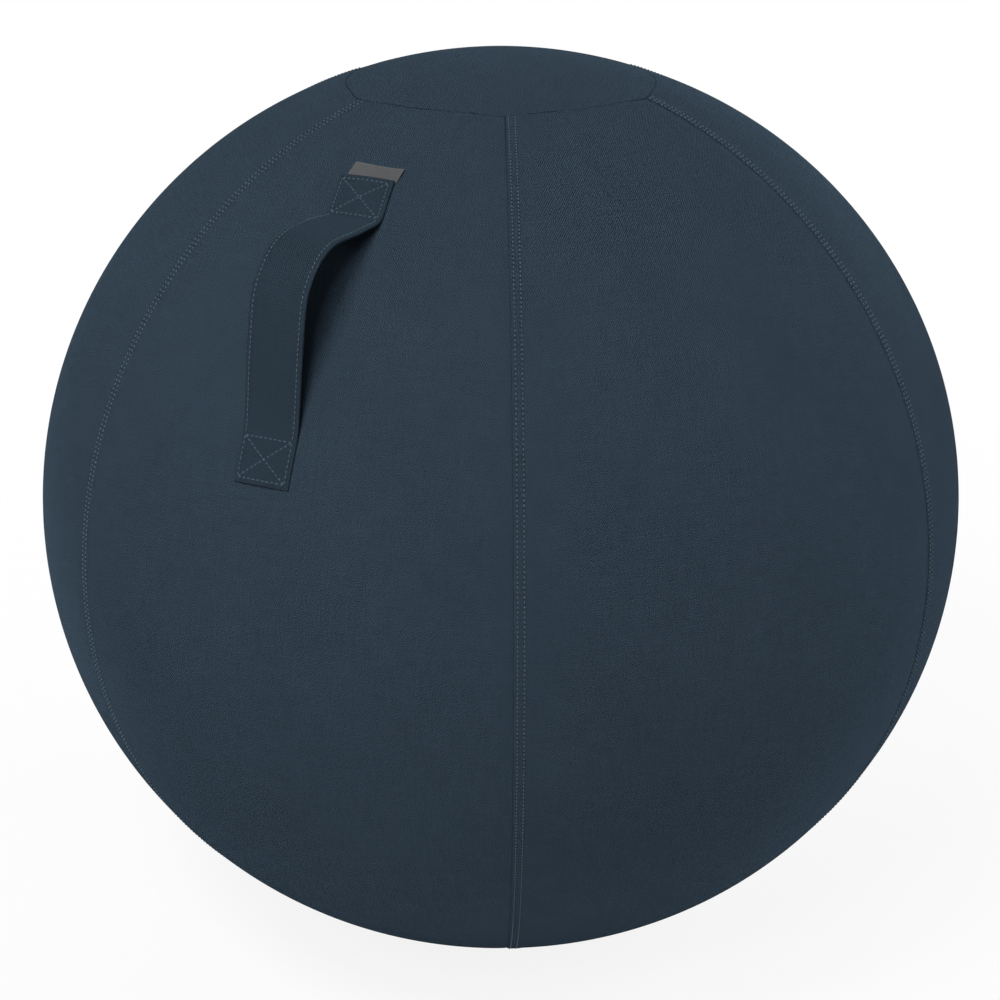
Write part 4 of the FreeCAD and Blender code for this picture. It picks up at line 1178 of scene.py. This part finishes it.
def on_strap(distance, sideways, height):
    """Points of the strap: along its route, sideways across it and a height above its middle line.

    Sewn ends bend round the ball: they drop by half the sideways distance squared over the ball's
    radius there. The loop is level across, sways to the right and leans as strap_sway says.
    """
    strap = sizes("strap")
    route, places, heading, marks = strap_route()
    side, lean = strap_sway(route, marks)
    middle = np.stack([side, -places[:, 0], places[:, 1]], axis=-1)
    normal = np.stack([np.zeros_like(heading), np.sin(heading), np.cos(heading)], axis=-1)

    def at(values):
        return np.stack([np.interp(distance, route, values[:, part]) for part in range(3)], axis=-1)

    held = 1.0 - smooth_step(marks[1] - HOLD_EASE, marks[1] + HOLD_EASE, distance)
    held = held + smooth_step(marks[5] + HOLD_GAP, marks[5] + HOLD_GAP + 2.0 * HOLD_EASE, distance)
    drop = np.square(sideways + held * np.interp(distance, route, side)) / (2.0 * BALL_ROUND)
    rise = height - held * drop + np.interp(distance, route, lean) * sideways / (strap.width / 2.0)
    return at(middle) + np.array([1.0, 0.0, 0.0]) * sideways[..., None] + at(normal) * rise[..., None]


# Reach of the fine grid steps across a stitch row, and where the wide steps between the rows begin.
GROOVE_REACH = 0.0011
GROOVE_CLEAR = 0.003
# Grid steps across a stitch row, between the rows and round a half circle.
ROW_ACROSS = 7
FACE_ACROSS = 15
BOW_STEPS = 9


def strap_section():
    """The strap's section as a closed ring: sideways places and heights above the middle line.

    Rounded edges, a shallow groove under each stitch row, and a little more thickness between them.
    """
    strap = sizes("strap")
    stitch = sizes("stitch")
    half = strap.thickness / 2.0
    flat = strap.width / 2.0 - half
    row = strap.width / 2.0 - strap.edge_row
    beside = np.linspace(-GROOVE_REACH, GROOVE_REACH, ROW_ACROSS)
    inner = row - GROOVE_CLEAR
    between_rows = np.linspace(-inner, inner, FACE_ACROSS)
    face = np.concatenate([[-flat], beside - row, between_rows, beside + row, [flat]])
    grooves = bell(face - row, 2.0 * stitch.thread) + bell(face + row, 2.0 * stitch.thread)
    between = np.clip(1.0 - np.square(face / row), 0.0, 1.0)
    height = half - stitch.groove * grooves + strap.crown * between
    bow = np.linspace(0.0, math.pi, BOW_STEPS)[1:-1]
    edge = np.stack([flat + half * np.sin(bow), half * np.cos(bow)], axis=-1)
    top = np.stack([face, height], axis=-1)
    under = np.stack([face[::-1], -half + 0.0 * face], axis=-1)
    other = np.stack([-edge[::-1, 0], edge[::-1, 1]], axis=-1)
    return np.concatenate([top, edge, under, other])


# Length of the strap's grid steps.
STRAP_STEP = 0.0012
# Heights at which the painted shade on the strap's edges and underside is full and gone, in half thicknesses.
EDGE_SHADE_FULL = -0.2
EDGE_SHADE_NONE = 0.6
# Where the loop's legs would begin to turn with the grip, off the stitching, and how far past its bends they
# would have turned fully; nothing turns them.
LEG_GAP = 0.002
UPPER_LEG = 0.026
LOWER_LEG = 0.032


def rounded(share):
    """Height of a quarter circle that rises from 0 at share 0 to 1 at share 1."""
    return np.sqrt(1.0 - np.square(1.0 - np.clip(share, 0.0, 1.0)))


def sharpen_caps(mesh):
    """Shades the flat caps, which are the faces of more than four corners, apart from the rounded sides."""
    totals = np.zeros(len(mesh.polygons), dtype=np.int32)
    mesh.polygons.foreach_get("loop_total", totals)
    mesh.polygons.foreach_set("use_smooth", totals <= 4)
    edges = np.zeros(len(mesh.loops), dtype=np.int32)
    mesh.loops.foreach_get("edge_index", edges)
    sharp = np.zeros(len(mesh.edges), dtype=bool)
    sharp[edges[np.repeat(totals > 4, totals)]] = True
    mesh.edges.foreach_set("use_edge_sharp", sharp)


def strap_part(name, start, end, open_start, open_end):
    """A stretch of the strap from one distance to another, closed at both ends.

    The section is carried along the route. A sewn end closes in a rounded fold, and the cut in the
    middle of the loop is closed flat.
    """
    strap = sizes("strap")
    section = strap_section()
    half = strap.thickness / 2.0
    fold = half * np.array([0.0, 0.1, 0.3, 0.6, 1.0])
    first = start + (np.zeros(1) if open_start else fold)
    last = end - (np.zeros(1) if open_end else fold[::-1])
    steps = int((last[0] - first[-1]) / STRAP_STEP)
    distance = np.concatenate([first, np.linspace(first[-1], last[0], steps)[1:-1], last])
    fullness = np.ones_like(distance)
    if not open_start:
        fullness = np.minimum(fullness, rounded((distance - start) / half))
    if not open_end:
        fullness = np.minimum(fullness, rounded((end - distance) / half))
    fullness = fullness[:, None]
    sideways = np.broadcast_to(section[None, :, 0], (len(distance), len(section)))
    height = section[None, :, 1] * fullness
    points = on_strap(distance[:, None] + np.zeros_like(height), sideways, height)
    rows, columns = points.shape[:2]
    faces = grid_faces(rows, columns, close_columns=True)
    corners = faces.ravel()
    counts = np.full(len(faces), 4)
    ring = np.arange(columns)
    if open_start:
        corners = np.concatenate([corners, ring])
        counts = np.concatenate([counts, [columns]])
    if open_end:
        corners = np.concatenate([corners, ring[::-1] + (rows - 1) * columns])
        counts = np.concatenate([counts, [columns]])
    across = sideways + 2.0 * strap.width * (section[None, :, 1] < 0.0)
    weave = np.stack(np.broadcast_arrays(across, -distance[:, None]), axis=-1).reshape(-1, 2)
    # Painted shade: full low on the strap's edges and on its underside, gone on its face.
    painted_edge_shade = 1.0 - smooth_step(EDGE_SHADE_FULL * half, EDGE_SHADE_NONE * half, section[:, 1])
    values = {"fold": np.tile(painted_edge_shade, rows)}
    piece = build_mesh(name, points.reshape(-1, 3), corners, counts, {"weave": weave}, values, True)
    sharpen_caps(piece.data)
    return piece


def follow_loop(piece, upper):
    """Bakes a piece of the loop's placement into its points; where its legs would turn with the grip is
    worked out but not used.
    """
    marks = strap_route()[3]
    if upper:
        distance = np.array([marks[1] + LEG_GAP, marks[2] + UPPER_LEG])
    else:
        distance = np.array([marks[6] - LEG_GAP, marks[5] - LOWER_LEG])
    start, end = on_strap(distance, np.zeros(2), np.zeros(2)).tolist()
    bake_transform(piece)


def strap_meet(marks):
    """Distance along the strap where its two lengths meet: two fifths down its straight run."""
    return marks[4] + 0.4 * (marks[5] - marks[4])


class SITTINGBALL_OT_strap(bpy.types.Operator):
    """Make the carry strap in two lengths that meet in its straight run"""

    bl_idname = "sitting_ball.strap"
    bl_label = "Carry strap"

    def execute(self, context):
        marks = strap_route()[3]
        meet = strap_meet(marks)
        upper = strap_part("strap_upper", 0.0, meet, False, True)
        lower = strap_part("strap_lower", meet, marks[-1], True, False)
        for piece, is_upper, nodes in (
                (upper, True, ("handle_end_upper", "handle_leg_upper", "handle_grip")),
                (lower, False, ("handle_end_lower", "handle_leg_lower"))):
            piece.data.materials.append(bpy.data.materials["strap_weave"])
            follow_loop(piece, is_upper)
            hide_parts(*nodes)
        return {"FINISHED"}


def strap_row(start, end, shift_start, shift_end):
    """Places, directions and normals of stitches from one point of the strap's face to another."""
    strap = sizes("strap")
    stitch = sizes("stitch")
    span = math.hypot(end - start, shift_end - shift_start)
    count = max(2, int(span / stitch.pitch))
    share = (np.arange(count) + 0.5) / count
    distance = start + (end - start) * share
    sideways = shift_start + (shift_end - shift_start) * share
    between = np.clip(1.0 - np.square(sideways / (strap.width / 2.0 - strap.edge_row)), 0.0, 1.0)
    height = strap.thickness / 2.0 + strap.crown * between - STRAP_STITCH_SINK * stitch.thread
    place = on_strap(distance, sideways, height)
    step = SMALL_STEP / span
    ahead = on_strap(distance + step * (end - start), sideways + step * (shift_end - shift_start), height)
    down = on_strap(distance + SMALL_STEP, sideways, height) - place
    side = on_strap(distance, sideways + SMALL_STEP, height) - place
    return place, ahead - place, unit(np.cross(side, -down))


class SITTINGBALL_OT_strap_stitching(bpy.types.Operator):
    """Sew the long rows, and the crossed boxes that hold the strap's ends"""

    bl_idname = "sitting_ball.strap_stitching"
    bl_label = "Strap stitching"

    def execute(self, context):
        strap = sizes("strap")
        marks = strap_route()[3]
        side = strap.width / 2.0 - strap.edge_row
        meet = strap_meet(marks)
        boxes = {
            "stitches_strap_upper_box": (strap.upper_box, marks[1] - strap.box_gap),
            "stitches_strap_lower_box": (marks[6] + strap.box_gap, marks[-1] - strap.lower_box),
        }
        for name, (high, low) in boxes.items():
            piece = self.sew_lines(name, [
                (high, high, -side, side), (low, low, -side, side), (high, low, -side, -side),
                (high, low, side, side), (high, low, -side, side), (high, low, side, -side)])
            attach(piece, BALL)
        runs = {
            "stitches_strap_upper": (marks[1] + strap.row_gap, meet, True),
            "stitches_strap_lower": (meet, marks[6] - strap.row_gap, False),
        }
        for name, (high, low, is_upper) in runs.items():
            piece = self.sew_lines(name, [(high, low, shift, shift) for shift in (-side, side)])
            follow_loop(piece, is_upper)
        return {"FINISHED"}

    def sew_lines(self, name, lines):
        """One piece of stitching along several lines on the strap."""
        groups = [strap_row(*line) for line in lines]
        piece = sew(name, *(np.concatenate(group) for group in zip(*groups)))
        return piece


class SITTINGBALL_OT_label(bpy.types.Operator):
    """Make the bare folded label above the strap"""

    bl_idname = "sitting_ball.label"
    bl_label = "Label"

    def execute(self, context):
        """A strip laid on the cover: up one face, round a half circle at the fold and down the other.

        It is turned a little about its middle. Its fold springs off the cover, and its right corner curls
        up by the square of a smooth step.
        """
        strap = sizes("strap")
        ball = sizes("ball")
        high = strap.label_top * ball.panel_arc
        low = strap.label_foot * ball.panel_arc
        half = strap.label_thickness / 2.0
        bow = np.linspace(0.0, math.pi, BOW_STEPS)
        front = np.linspace(high + half, low, LABEL_DOWN)[1:]
        flat = np.full(len(front), half)
        run = np.concatenate([front[::-1], high + half - half * np.sin(bow), front])
        height = np.concatenate([flat, half * np.cos(bow), -flat])
        sideways = np.linspace(-strap.label_width / 2.0, strap.label_width / 2.0, LABEL_ACROSS)
        middle = 0.5 * (high + low)
        below = (run - middle)[:, None]
        turn = strap.label_turn
        across = strap.label_sway + sideways[None, :] * math.cos(turn) - below * math.sin(turn)
        down = middle + below * math.cos(turn) + sideways[None, :] * math.sin(turn)
        slope = down / ball.panel_arc
        azimuth = across / cover_radius(slope)
        curl = np.square(smooth_step(strap.label_flat, strap.label_width / 2.0, sideways))[None, :]
        loose = (low - run)[:, None] / (low - high)
        lift = height[:, None] + half + strap.label_gap + strap.label_curl * curl * loose
        lift = lift + strap.label_spring * np.clip(loose, 0.0, 1.0)
        points = cover_point(azimuth, slope, lift)
        from_edge = np.minimum(strap.label_width / 2.0 - np.abs(sideways)[None, :], (run - high)[:, None])
        along = np.concatenate([[0.0], np.cumsum(np.hypot(np.diff(run), np.diff(height)))])
        weave = np.stack(np.broadcast_arrays(sideways[None, :], -along[:, None]), axis=-1)
        piece = grid_piece("label", points[::-1], {"weave": weave[::-1]}, {"edge": from_edge[::-1]})
        give(piece, bpy.data.materials["label_weave"], BALL, "label_cloth", "handle_label")
        return {"FINISHED"}


class SITTINGBALL_OT_zip(bpy.types.Operator):
    """Make the zip's woven tapes, and finish its teeth, stops, slider and pull"""

    bl_idname = "sitting_ball.zip"
    bl_label = "Zip"

    def execute(self, context):
        """Each tape is a strip beside the zip's middle line, at its depth below the cover.

        The cord in its inner edge is a bell across the strip.
        """
        opening = sizes("zip")
        ball = sizes("ball")
        slope = np.linspace(opening.top - TAPE_END, opening.foot + TAPE_END, TAPE_STEPS)[:, None]
        near = np.linspace(0.0, 2.0 * opening.cord_place, TAPE_CORD)
        plain = np.linspace(opening.cord_foot, opening.tape_width, TAPE_PLAIN)
        across = np.concatenate([near, plain])[None, :]
        cord = opening.cord_height * bell(across - opening.cord_place, opening.cord_width)
        lift = -opening.tape_depth - opening.tape_sink + cord + np.zeros_like(slope)
        for side, node in ((1.0, "zip_tape_left"), (-1.0, "zip_tape_right")):
            azimuth = ZIP_SEAM + side * (opening.tape_gap + across) / cover_radius(slope)
            points = cover_point(azimuth, slope + np.zeros_like(across), lift)
            weave = np.stack(np.broadcast_arrays(across, -slope * ball.panel_arc), axis=-1)
            if side < 0:
                points, weave = points[:, ::-1], weave[:, ::-1]
            piece = grid_piece(node.replace("zip_tape", "tape"), points, {"weave": weave})
            give(piece, bpy.data.materials["zip_tape_cloth"], BALL, "zip_cloth", node)
        for node in ("zip_teeth_left", "zip_teeth_right"):
            refinish(node, bpy.data.materials["zip_teeth_nylon"])
        for node in ("zip_slider", "zip_pull", "zip_top_stop_left", "zip_top_stop_right", "zip_bottom_stop"):
            refinish(node, bpy.data.materials["zip_dark_metal"])
        return {"FINISHED"}


# Widths and heights of a grip dot's rings, as shares of its radius and of its height.
DOT_WIDTHS = np.array([1.0, 0.85, 0.5])
DOT_HEIGHTS = np.array([-0.2, 0.6, 0.93])


def grip_shape():
    """One grip dot: a low dome of eight sides, closed on the cloth, whose rings narrow to its crown."""
    base = sizes("base")
    turn = np.linspace(0.0, FULL_TURN, DOT_SIDES, endpoint=False)[None, :]
    wide = DOT_WIDTHS[:, None] * base.grip_radius
    high = DOT_HEIGHTS[:, None] * base.grip_height
    rings = np.stack([wide * np.cos(turn), wide * np.sin(turn), high + np.zeros_like(turn)], axis=-1)
    shape = np.concatenate([rings.reshape(-1, 3), [[0.0, 0.0, base.grip_height]]])
    index, following, sides = tube_faces(len(wide), DOT_SIDES)
    cap = np.stack([index[-1], following[-1], np.full(DOT_SIDES, len(shape) - 1)], axis=-1)
    corners = np.concatenate([sides.ravel(), cap.ravel(), index[0][::-1]])
    counts = np.concatenate([np.full(len(sides), 4), np.full(len(cap), 3), [DOT_SIDES]])
    return shape, corners, counts


class SITTINGBALL_OT_base(bpy.types.Operator):
    """Make the grip cloth under the ball and its dots"""

    bl_idname = "sitting_ball.base"
    bl_label = "Base"

    def execute(self, context):
        """Rings from the base seam round the bend, then level rings that shrink to the middle."""
        ball = sizes("ball")
        base = sizes("base")
        base_seam = math.pi - ball.crown_angle
        azimuth = np.linspace(0.0, FULL_TURN, ROUND_STEPS, endpoint=False)[None, :]
        bend = np.linspace(base_seam, math.pi, BASE_BEND)[:, None]
        from_edge = (bend - base_seam) * base_arc()
        lift = plain_lift(from_edge) - base.grip_height + np.zeros_like(azimuth)
        rim = cover_point(azimuth, bend, lift)
        inner = np.linspace(1.0, 0.0, BASE_FLAT)[1:, None, None]
        level = rim[-1:] * np.array([1.0, 1.0, 0.0]) * inner + np.array([0.0, 0.0, base.grip_height])
        points = np.concatenate([rim, level])
        weave = points[..., :2].copy()
        edge = np.concatenate([from_edge + np.zeros_like(azimuth), np.full(level.shape[:2], 1.0)])
        values = {"edge": edge, "ridge": np.full_like(edge, 1.0), "run": edge}
        piece = grid_piece("base_cloth", points, {"weave": weave}, values, close_columns=True, weld=True)
        give(piece, bpy.data.materials["base_grip_cloth"], BALL, "base_cloth", "base_panel")
        self.dots(base)
        return {"FINISHED"}

    def dots(self, base):
        """The grip dots, in rows set half a step apart, on the flat and on the bend round it."""
        flat = float(cover_radius(np.array([math.pi - 1e-9]))[0])
        step = base.grip_step
        count = int(base.grip_field / step) + 1
        column, row = np.meshgrid(np.arange(-count, count + 1), np.arange(-count, count + 1))
        x = (column + 0.5 * (row % 2)) * step
        y = row * step * math.sqrt(0.75)
        distance = np.hypot(x, y)
        keep = distance < base.grip_field
        x, y, distance = x[keep], y[keep], distance[keep]
        slope = math.pi - np.arcsin(np.clip((distance - flat) / base_arc(), 0.0, 1.0))
        around = np.arctan2(x, -y)
        bent = cover_point(around, slope, -base.grip_height)
        level = np.stack([x, y, np.full_like(x, base.grip_height)], axis=-1)
        places = np.where((distance > flat)[:, None], bent, level)
        out = cover_normal(around, slope)
        across = np.cross(out, facing(around + math.pi / 2.0))
        shape, corners, counts = grip_shape()
        piece = repeat_shape("base_grips", shape, corners, counts, places, np.cross(across, out), across, out)
        give(piece, bpy.data.materials["grip_rubber"], BALL, "base_cloth")


class SITTINGBALL_OT_inside(bpy.types.Operator):
    """Make the weight pouch, and finish the inner ball and its valve plug"""

    bl_idname = "sitting_ball.inside"
    bl_label = "Inner ball and weight"

    def execute(self, context):
        """The pouch is two round sheets that meet in a flat rim.

        Its filling is as high as the square root of (1 - share to the fourth), with share 1 at the rim.
        Its lumps are the product of two waves that run round it and outwards.
        """
        base = sizes("base")
        low, high = (np.array(corner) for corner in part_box("base_weight"))
        radius = 0.5 * (high[0] - low[0])
        middle = 0.5 * (low + high)
        depth = high[2] - low[2]
        share = np.linspace(0.0, 1.0, POUCH_OUT)[:, None]
        azimuth = np.linspace(0.0, FULL_TURN, POUCH_ROUND, endpoint=False)[None, :]
        filled = 1.0 - base.pouch_seam / radius
        full = np.sqrt(np.clip(1.0 - np.power(np.clip(share / filled, 0.0, 1.0), 4.0), 0.0, 1.0))
        lumps = np.sin(5.0 * azimuth + 7.0 * share) * np.cos(3.0 * azimuth - 9.0 * share) * full
        seam = base.pouch_rise * depth
        rim = base.pouch_rim * depth
        filling = (depth - seam - 2.0 * rim) * full * (1.0 - 0.1 * share)
        top = low[2] + seam + rim + filling + base.pouch_lumps * depth * lumps
        under = low[2] + seam - (seam - rim) * full + 0.0 * azimuth
        plan = facing(azimuth + np.zeros_like(share)) * (radius * share)[..., None]
        upper = plan + np.stack([0.0 * top, 0.0 * top, np.clip(top, low[2], high[2])], axis=-1)
        lower = plan + np.stack([0.0 * under, 0.0 * under, np.clip(under, low[2], high[2])], axis=-1)
        points = np.concatenate([upper, lower[::-1]]) + np.array([middle[0], middle[1], 0.0])
        weave = points[..., :2].copy()
        piece = grid_piece("weight_pouch", points, {"weave": weave}, None, close_columns=True, weld=True)
        give(piece, bpy.data.materials["pouch_canvas"], BALL, "weight_fill", "base_weight")
        refinish("inner_ball", bpy.data.materials["ball_vinyl"])
        refinish("valve_plug", bpy.data.materials["plug_moulding"])
        return {"FINISHED"}


# Each softbox's turn round the ball from the camera, its height angle and its width.
SOFTBOXES = {
    "key_softbox": (-0.52, 0.90, 0.6),
    "front_softbox": (-0.26, 0.60, 0.6),
    "right_softbox": (1.65, 0.38, 1.6),
    "left_softbox": (-2.10, 0.45, 1.6),
    "back_softbox": (math.pi, 0.50, 1.6),
}


class SITTINGBALL_OT_stage(bpy.types.Operator):
    """Set up the pale floor, the soft lamps and the camera"""

    bl_idname = "sitting_ball.stage"
    bl_label = "Stage"

    def execute(self, context):
        stage = sizes("stage")
        scene = context.scene
        centre = np.array([0.0, 0.0, sizes("ball").centre_height])
        scene.view_settings.view_transform = "Standard"
        self.floor(stage)
        self.world(scene, stage)
        for name, (turn, elevation, width) in SOFTBOXES.items():
            power = getattr(stage, name.split("_")[0])
            self.lamp(name, centre, stage.azimuth + turn, elevation, width, power)
        self.camera(scene, stage, centre)
        return {"FINISHED"}

    def floor(self, stage):
        """A wide level floor that looks white to the camera and keeps the ball's shadow."""
        steps = np.linspace(-stage.floor_reach, stage.floor_reach, FLOOR_STEPS)
        x, y = np.meshgrid(steps, -steps)
        points = np.stack([x, y, np.zeros_like(x)], axis=-1)
        piece = grid_piece("studio_floor", points)
        finish = Finish("floor_paper", Specular_IOR_Level=0.1)
        grain = finish.noise(finish.place(), 40.0, 2.0)
        finish.feed("Base Color", finish.blend_colours(grain, tuple(stage.floor), tinted(stage.floor, 1.04)))
        finish.feed("Roughness", grain * 0.1 + 0.85)
        away = finish.node("ShaderNodeVectorMath", {"operation": "LENGTH"}, {0: finish.place()})["Value"]
        reach = {
            "Value": away, "From Min": stage.shadow_near, "From Max": stage.shadow_far,
            "To Min": stage.shadow, "To Max": 1.0}
        share = finish.node("ShaderNodeMapRange", {"interpolation_type": "SMOOTHSTEP"}, reach)["Result"]
        glow = finish.node("ShaderNodeEmission", None, {"Color": WHITE, "Strength": 1.0})["Emission"]
        layers = {0: finish.seen() * share, 1: finish.surface, 2: glow}
        mixed = finish.node("ShaderNodeMixShader", None, layers)["Shader"]
        finish.join(finish.output.inputs["Surface"], mixed)
        piece.data.materials.append(finish.material)

    def world(self, scene, stage):
        """Even pale light all round, which the camera and shiny faces see as white."""
        world = bpy.data.worlds.new("studio")
        world.use_nodes = True
        lights = Nodes(world.node_tree)
        even, plain = (
            lights.node("ShaderNodeBackground", None, {"Color": WHITE, "Strength": strength})["Background"]
            for strength in (stage.ambient, 1.0))
        mixed = lights.node("ShaderNodeMixShader", None, {0: lights.seen(), 1: even, 2: plain})["Shader"]
        lights.add("ShaderNodeOutputWorld", None, {"Surface": mixed})
        scene.world = world

    def aim(self, thing, centre, azimuth, elevation, distance):
        """Sets a lamp or camera down at a direction and distance from a point and turns it towards that."""
        away = cover_normal(np.array(azimuth), np.array(math.pi / 2.0 - elevation))
        thing.location = tuple(centre + away * distance)
        thing.rotation_euler = (math.pi / 2.0 - elevation, 0.0, azimuth)

    def lamp(self, name, centre, azimuth, elevation, width, power):
        """A square softbox at a direction and distance from the ball."""
        light = bpy.data.lights.new(name, "AREA")
        light.shape = "SQUARE"
        light.size = width
        light.energy = power
        thing = bpy.data.objects.new(name, light)
        bpy.context.scene.collection.objects.link(thing)
        self.aim(thing, centre, azimuth, elevation, sizes("stage").lamp_distance)

    def camera(self, scene, stage, centre):
        """The camera, at the photograph's direction and distance."""
        view = bpy.data.cameras.new("camera")
        view.lens = stage.lens
        view.sensor_width = 36.0
        view.shift_x = stage.aside
        view.shift_y = stage.rise
        thing = bpy.data.objects.new("camera", view)
        scene.collection.objects.link(thing)
        self.aim(thing, centre, stage.azimuth, stage.elevation, stage.distance)
        scene.camera = thing


OPERATORS = (
    SITTINGBALL_OT_finishes, SITTINGBALL_OT_side_panels, SITTINGBALL_OT_top_panel,
    SITTINGBALL_OT_seam_stitching, SITTINGBALL_OT_strap, SITTINGBALL_OT_strap_stitching,
    SITTINGBALL_OT_label, SITTINGBALL_OT_zip, SITTINGBALL_OT_base, SITTINGBALL_OT_inside,
    SITTINGBALL_OT_stage)

GROUPS = {
    "ball": BallSizes, "stitch": StitchSizes, "strap": StrapSizes, "zip": ZipSizes, "base": BaseSizes,
    "colours": FinishColours, "stage": StageSettings}


class SITTINGBALL_PT_panel(bpy.types.Panel):
    """Lists the pieces of the sitting ball"""

    bl_idname = "SITTINGBALL_PT_panel"
    bl_label = "Sitting ball"
    bl_space_type = "VIEW_3D"
    bl_region_type = "UI"
    bl_category = "Sitting ball"

    def draw(self, context):
        column = self.layout.column(align=True)
        for operator in OPERATORS:
            column.operator(operator.bl_idname)


def register():
    """Registers the property groups, the operators and the panel."""
    for name, group in GROUPS.items():
        bpy.utils.register_class(group)
        setattr(bpy.types.Scene, "sitting_ball_" + name, bpy.props.PointerProperty(type=group))
    for operator in OPERATORS:
        bpy.utils.register_class(operator)
    bpy.utils.register_class(SITTINGBALL_PT_panel)


def unregister():
    """Takes back everything that register added."""
    bpy.utils.unregister_class(SITTINGBALL_PT_panel)
    for operator in reversed(OPERATORS):
        bpy.utils.unregister_class(operator)
    for name, group in reversed(GROUPS.items()):
        delattr(bpy.types.Scene, "sitting_ball_" + name)
        bpy.utils.unregister_class(group)


def main():
    """Makes every piece in order."""
    register()
    bpy.ops.sitting_ball.finishes()
    bpy.ops.sitting_ball.side_panels()
    bpy.ops.sitting_ball.top_panel()
    bpy.ops.sitting_ball.seam_stitching()
    bpy.ops.sitting_ball.strap()
    bpy.ops.sitting_ball.strap_stitching()
    bpy.ops.sitting_ball.label()
    bpy.ops.sitting_ball.zip()
    bpy.ops.sitting_ball.base()
    bpy.ops.sitting_ball.inside()
    bpy.ops.sitting_ball.stage()


if __name__ == "__main__":
    main()
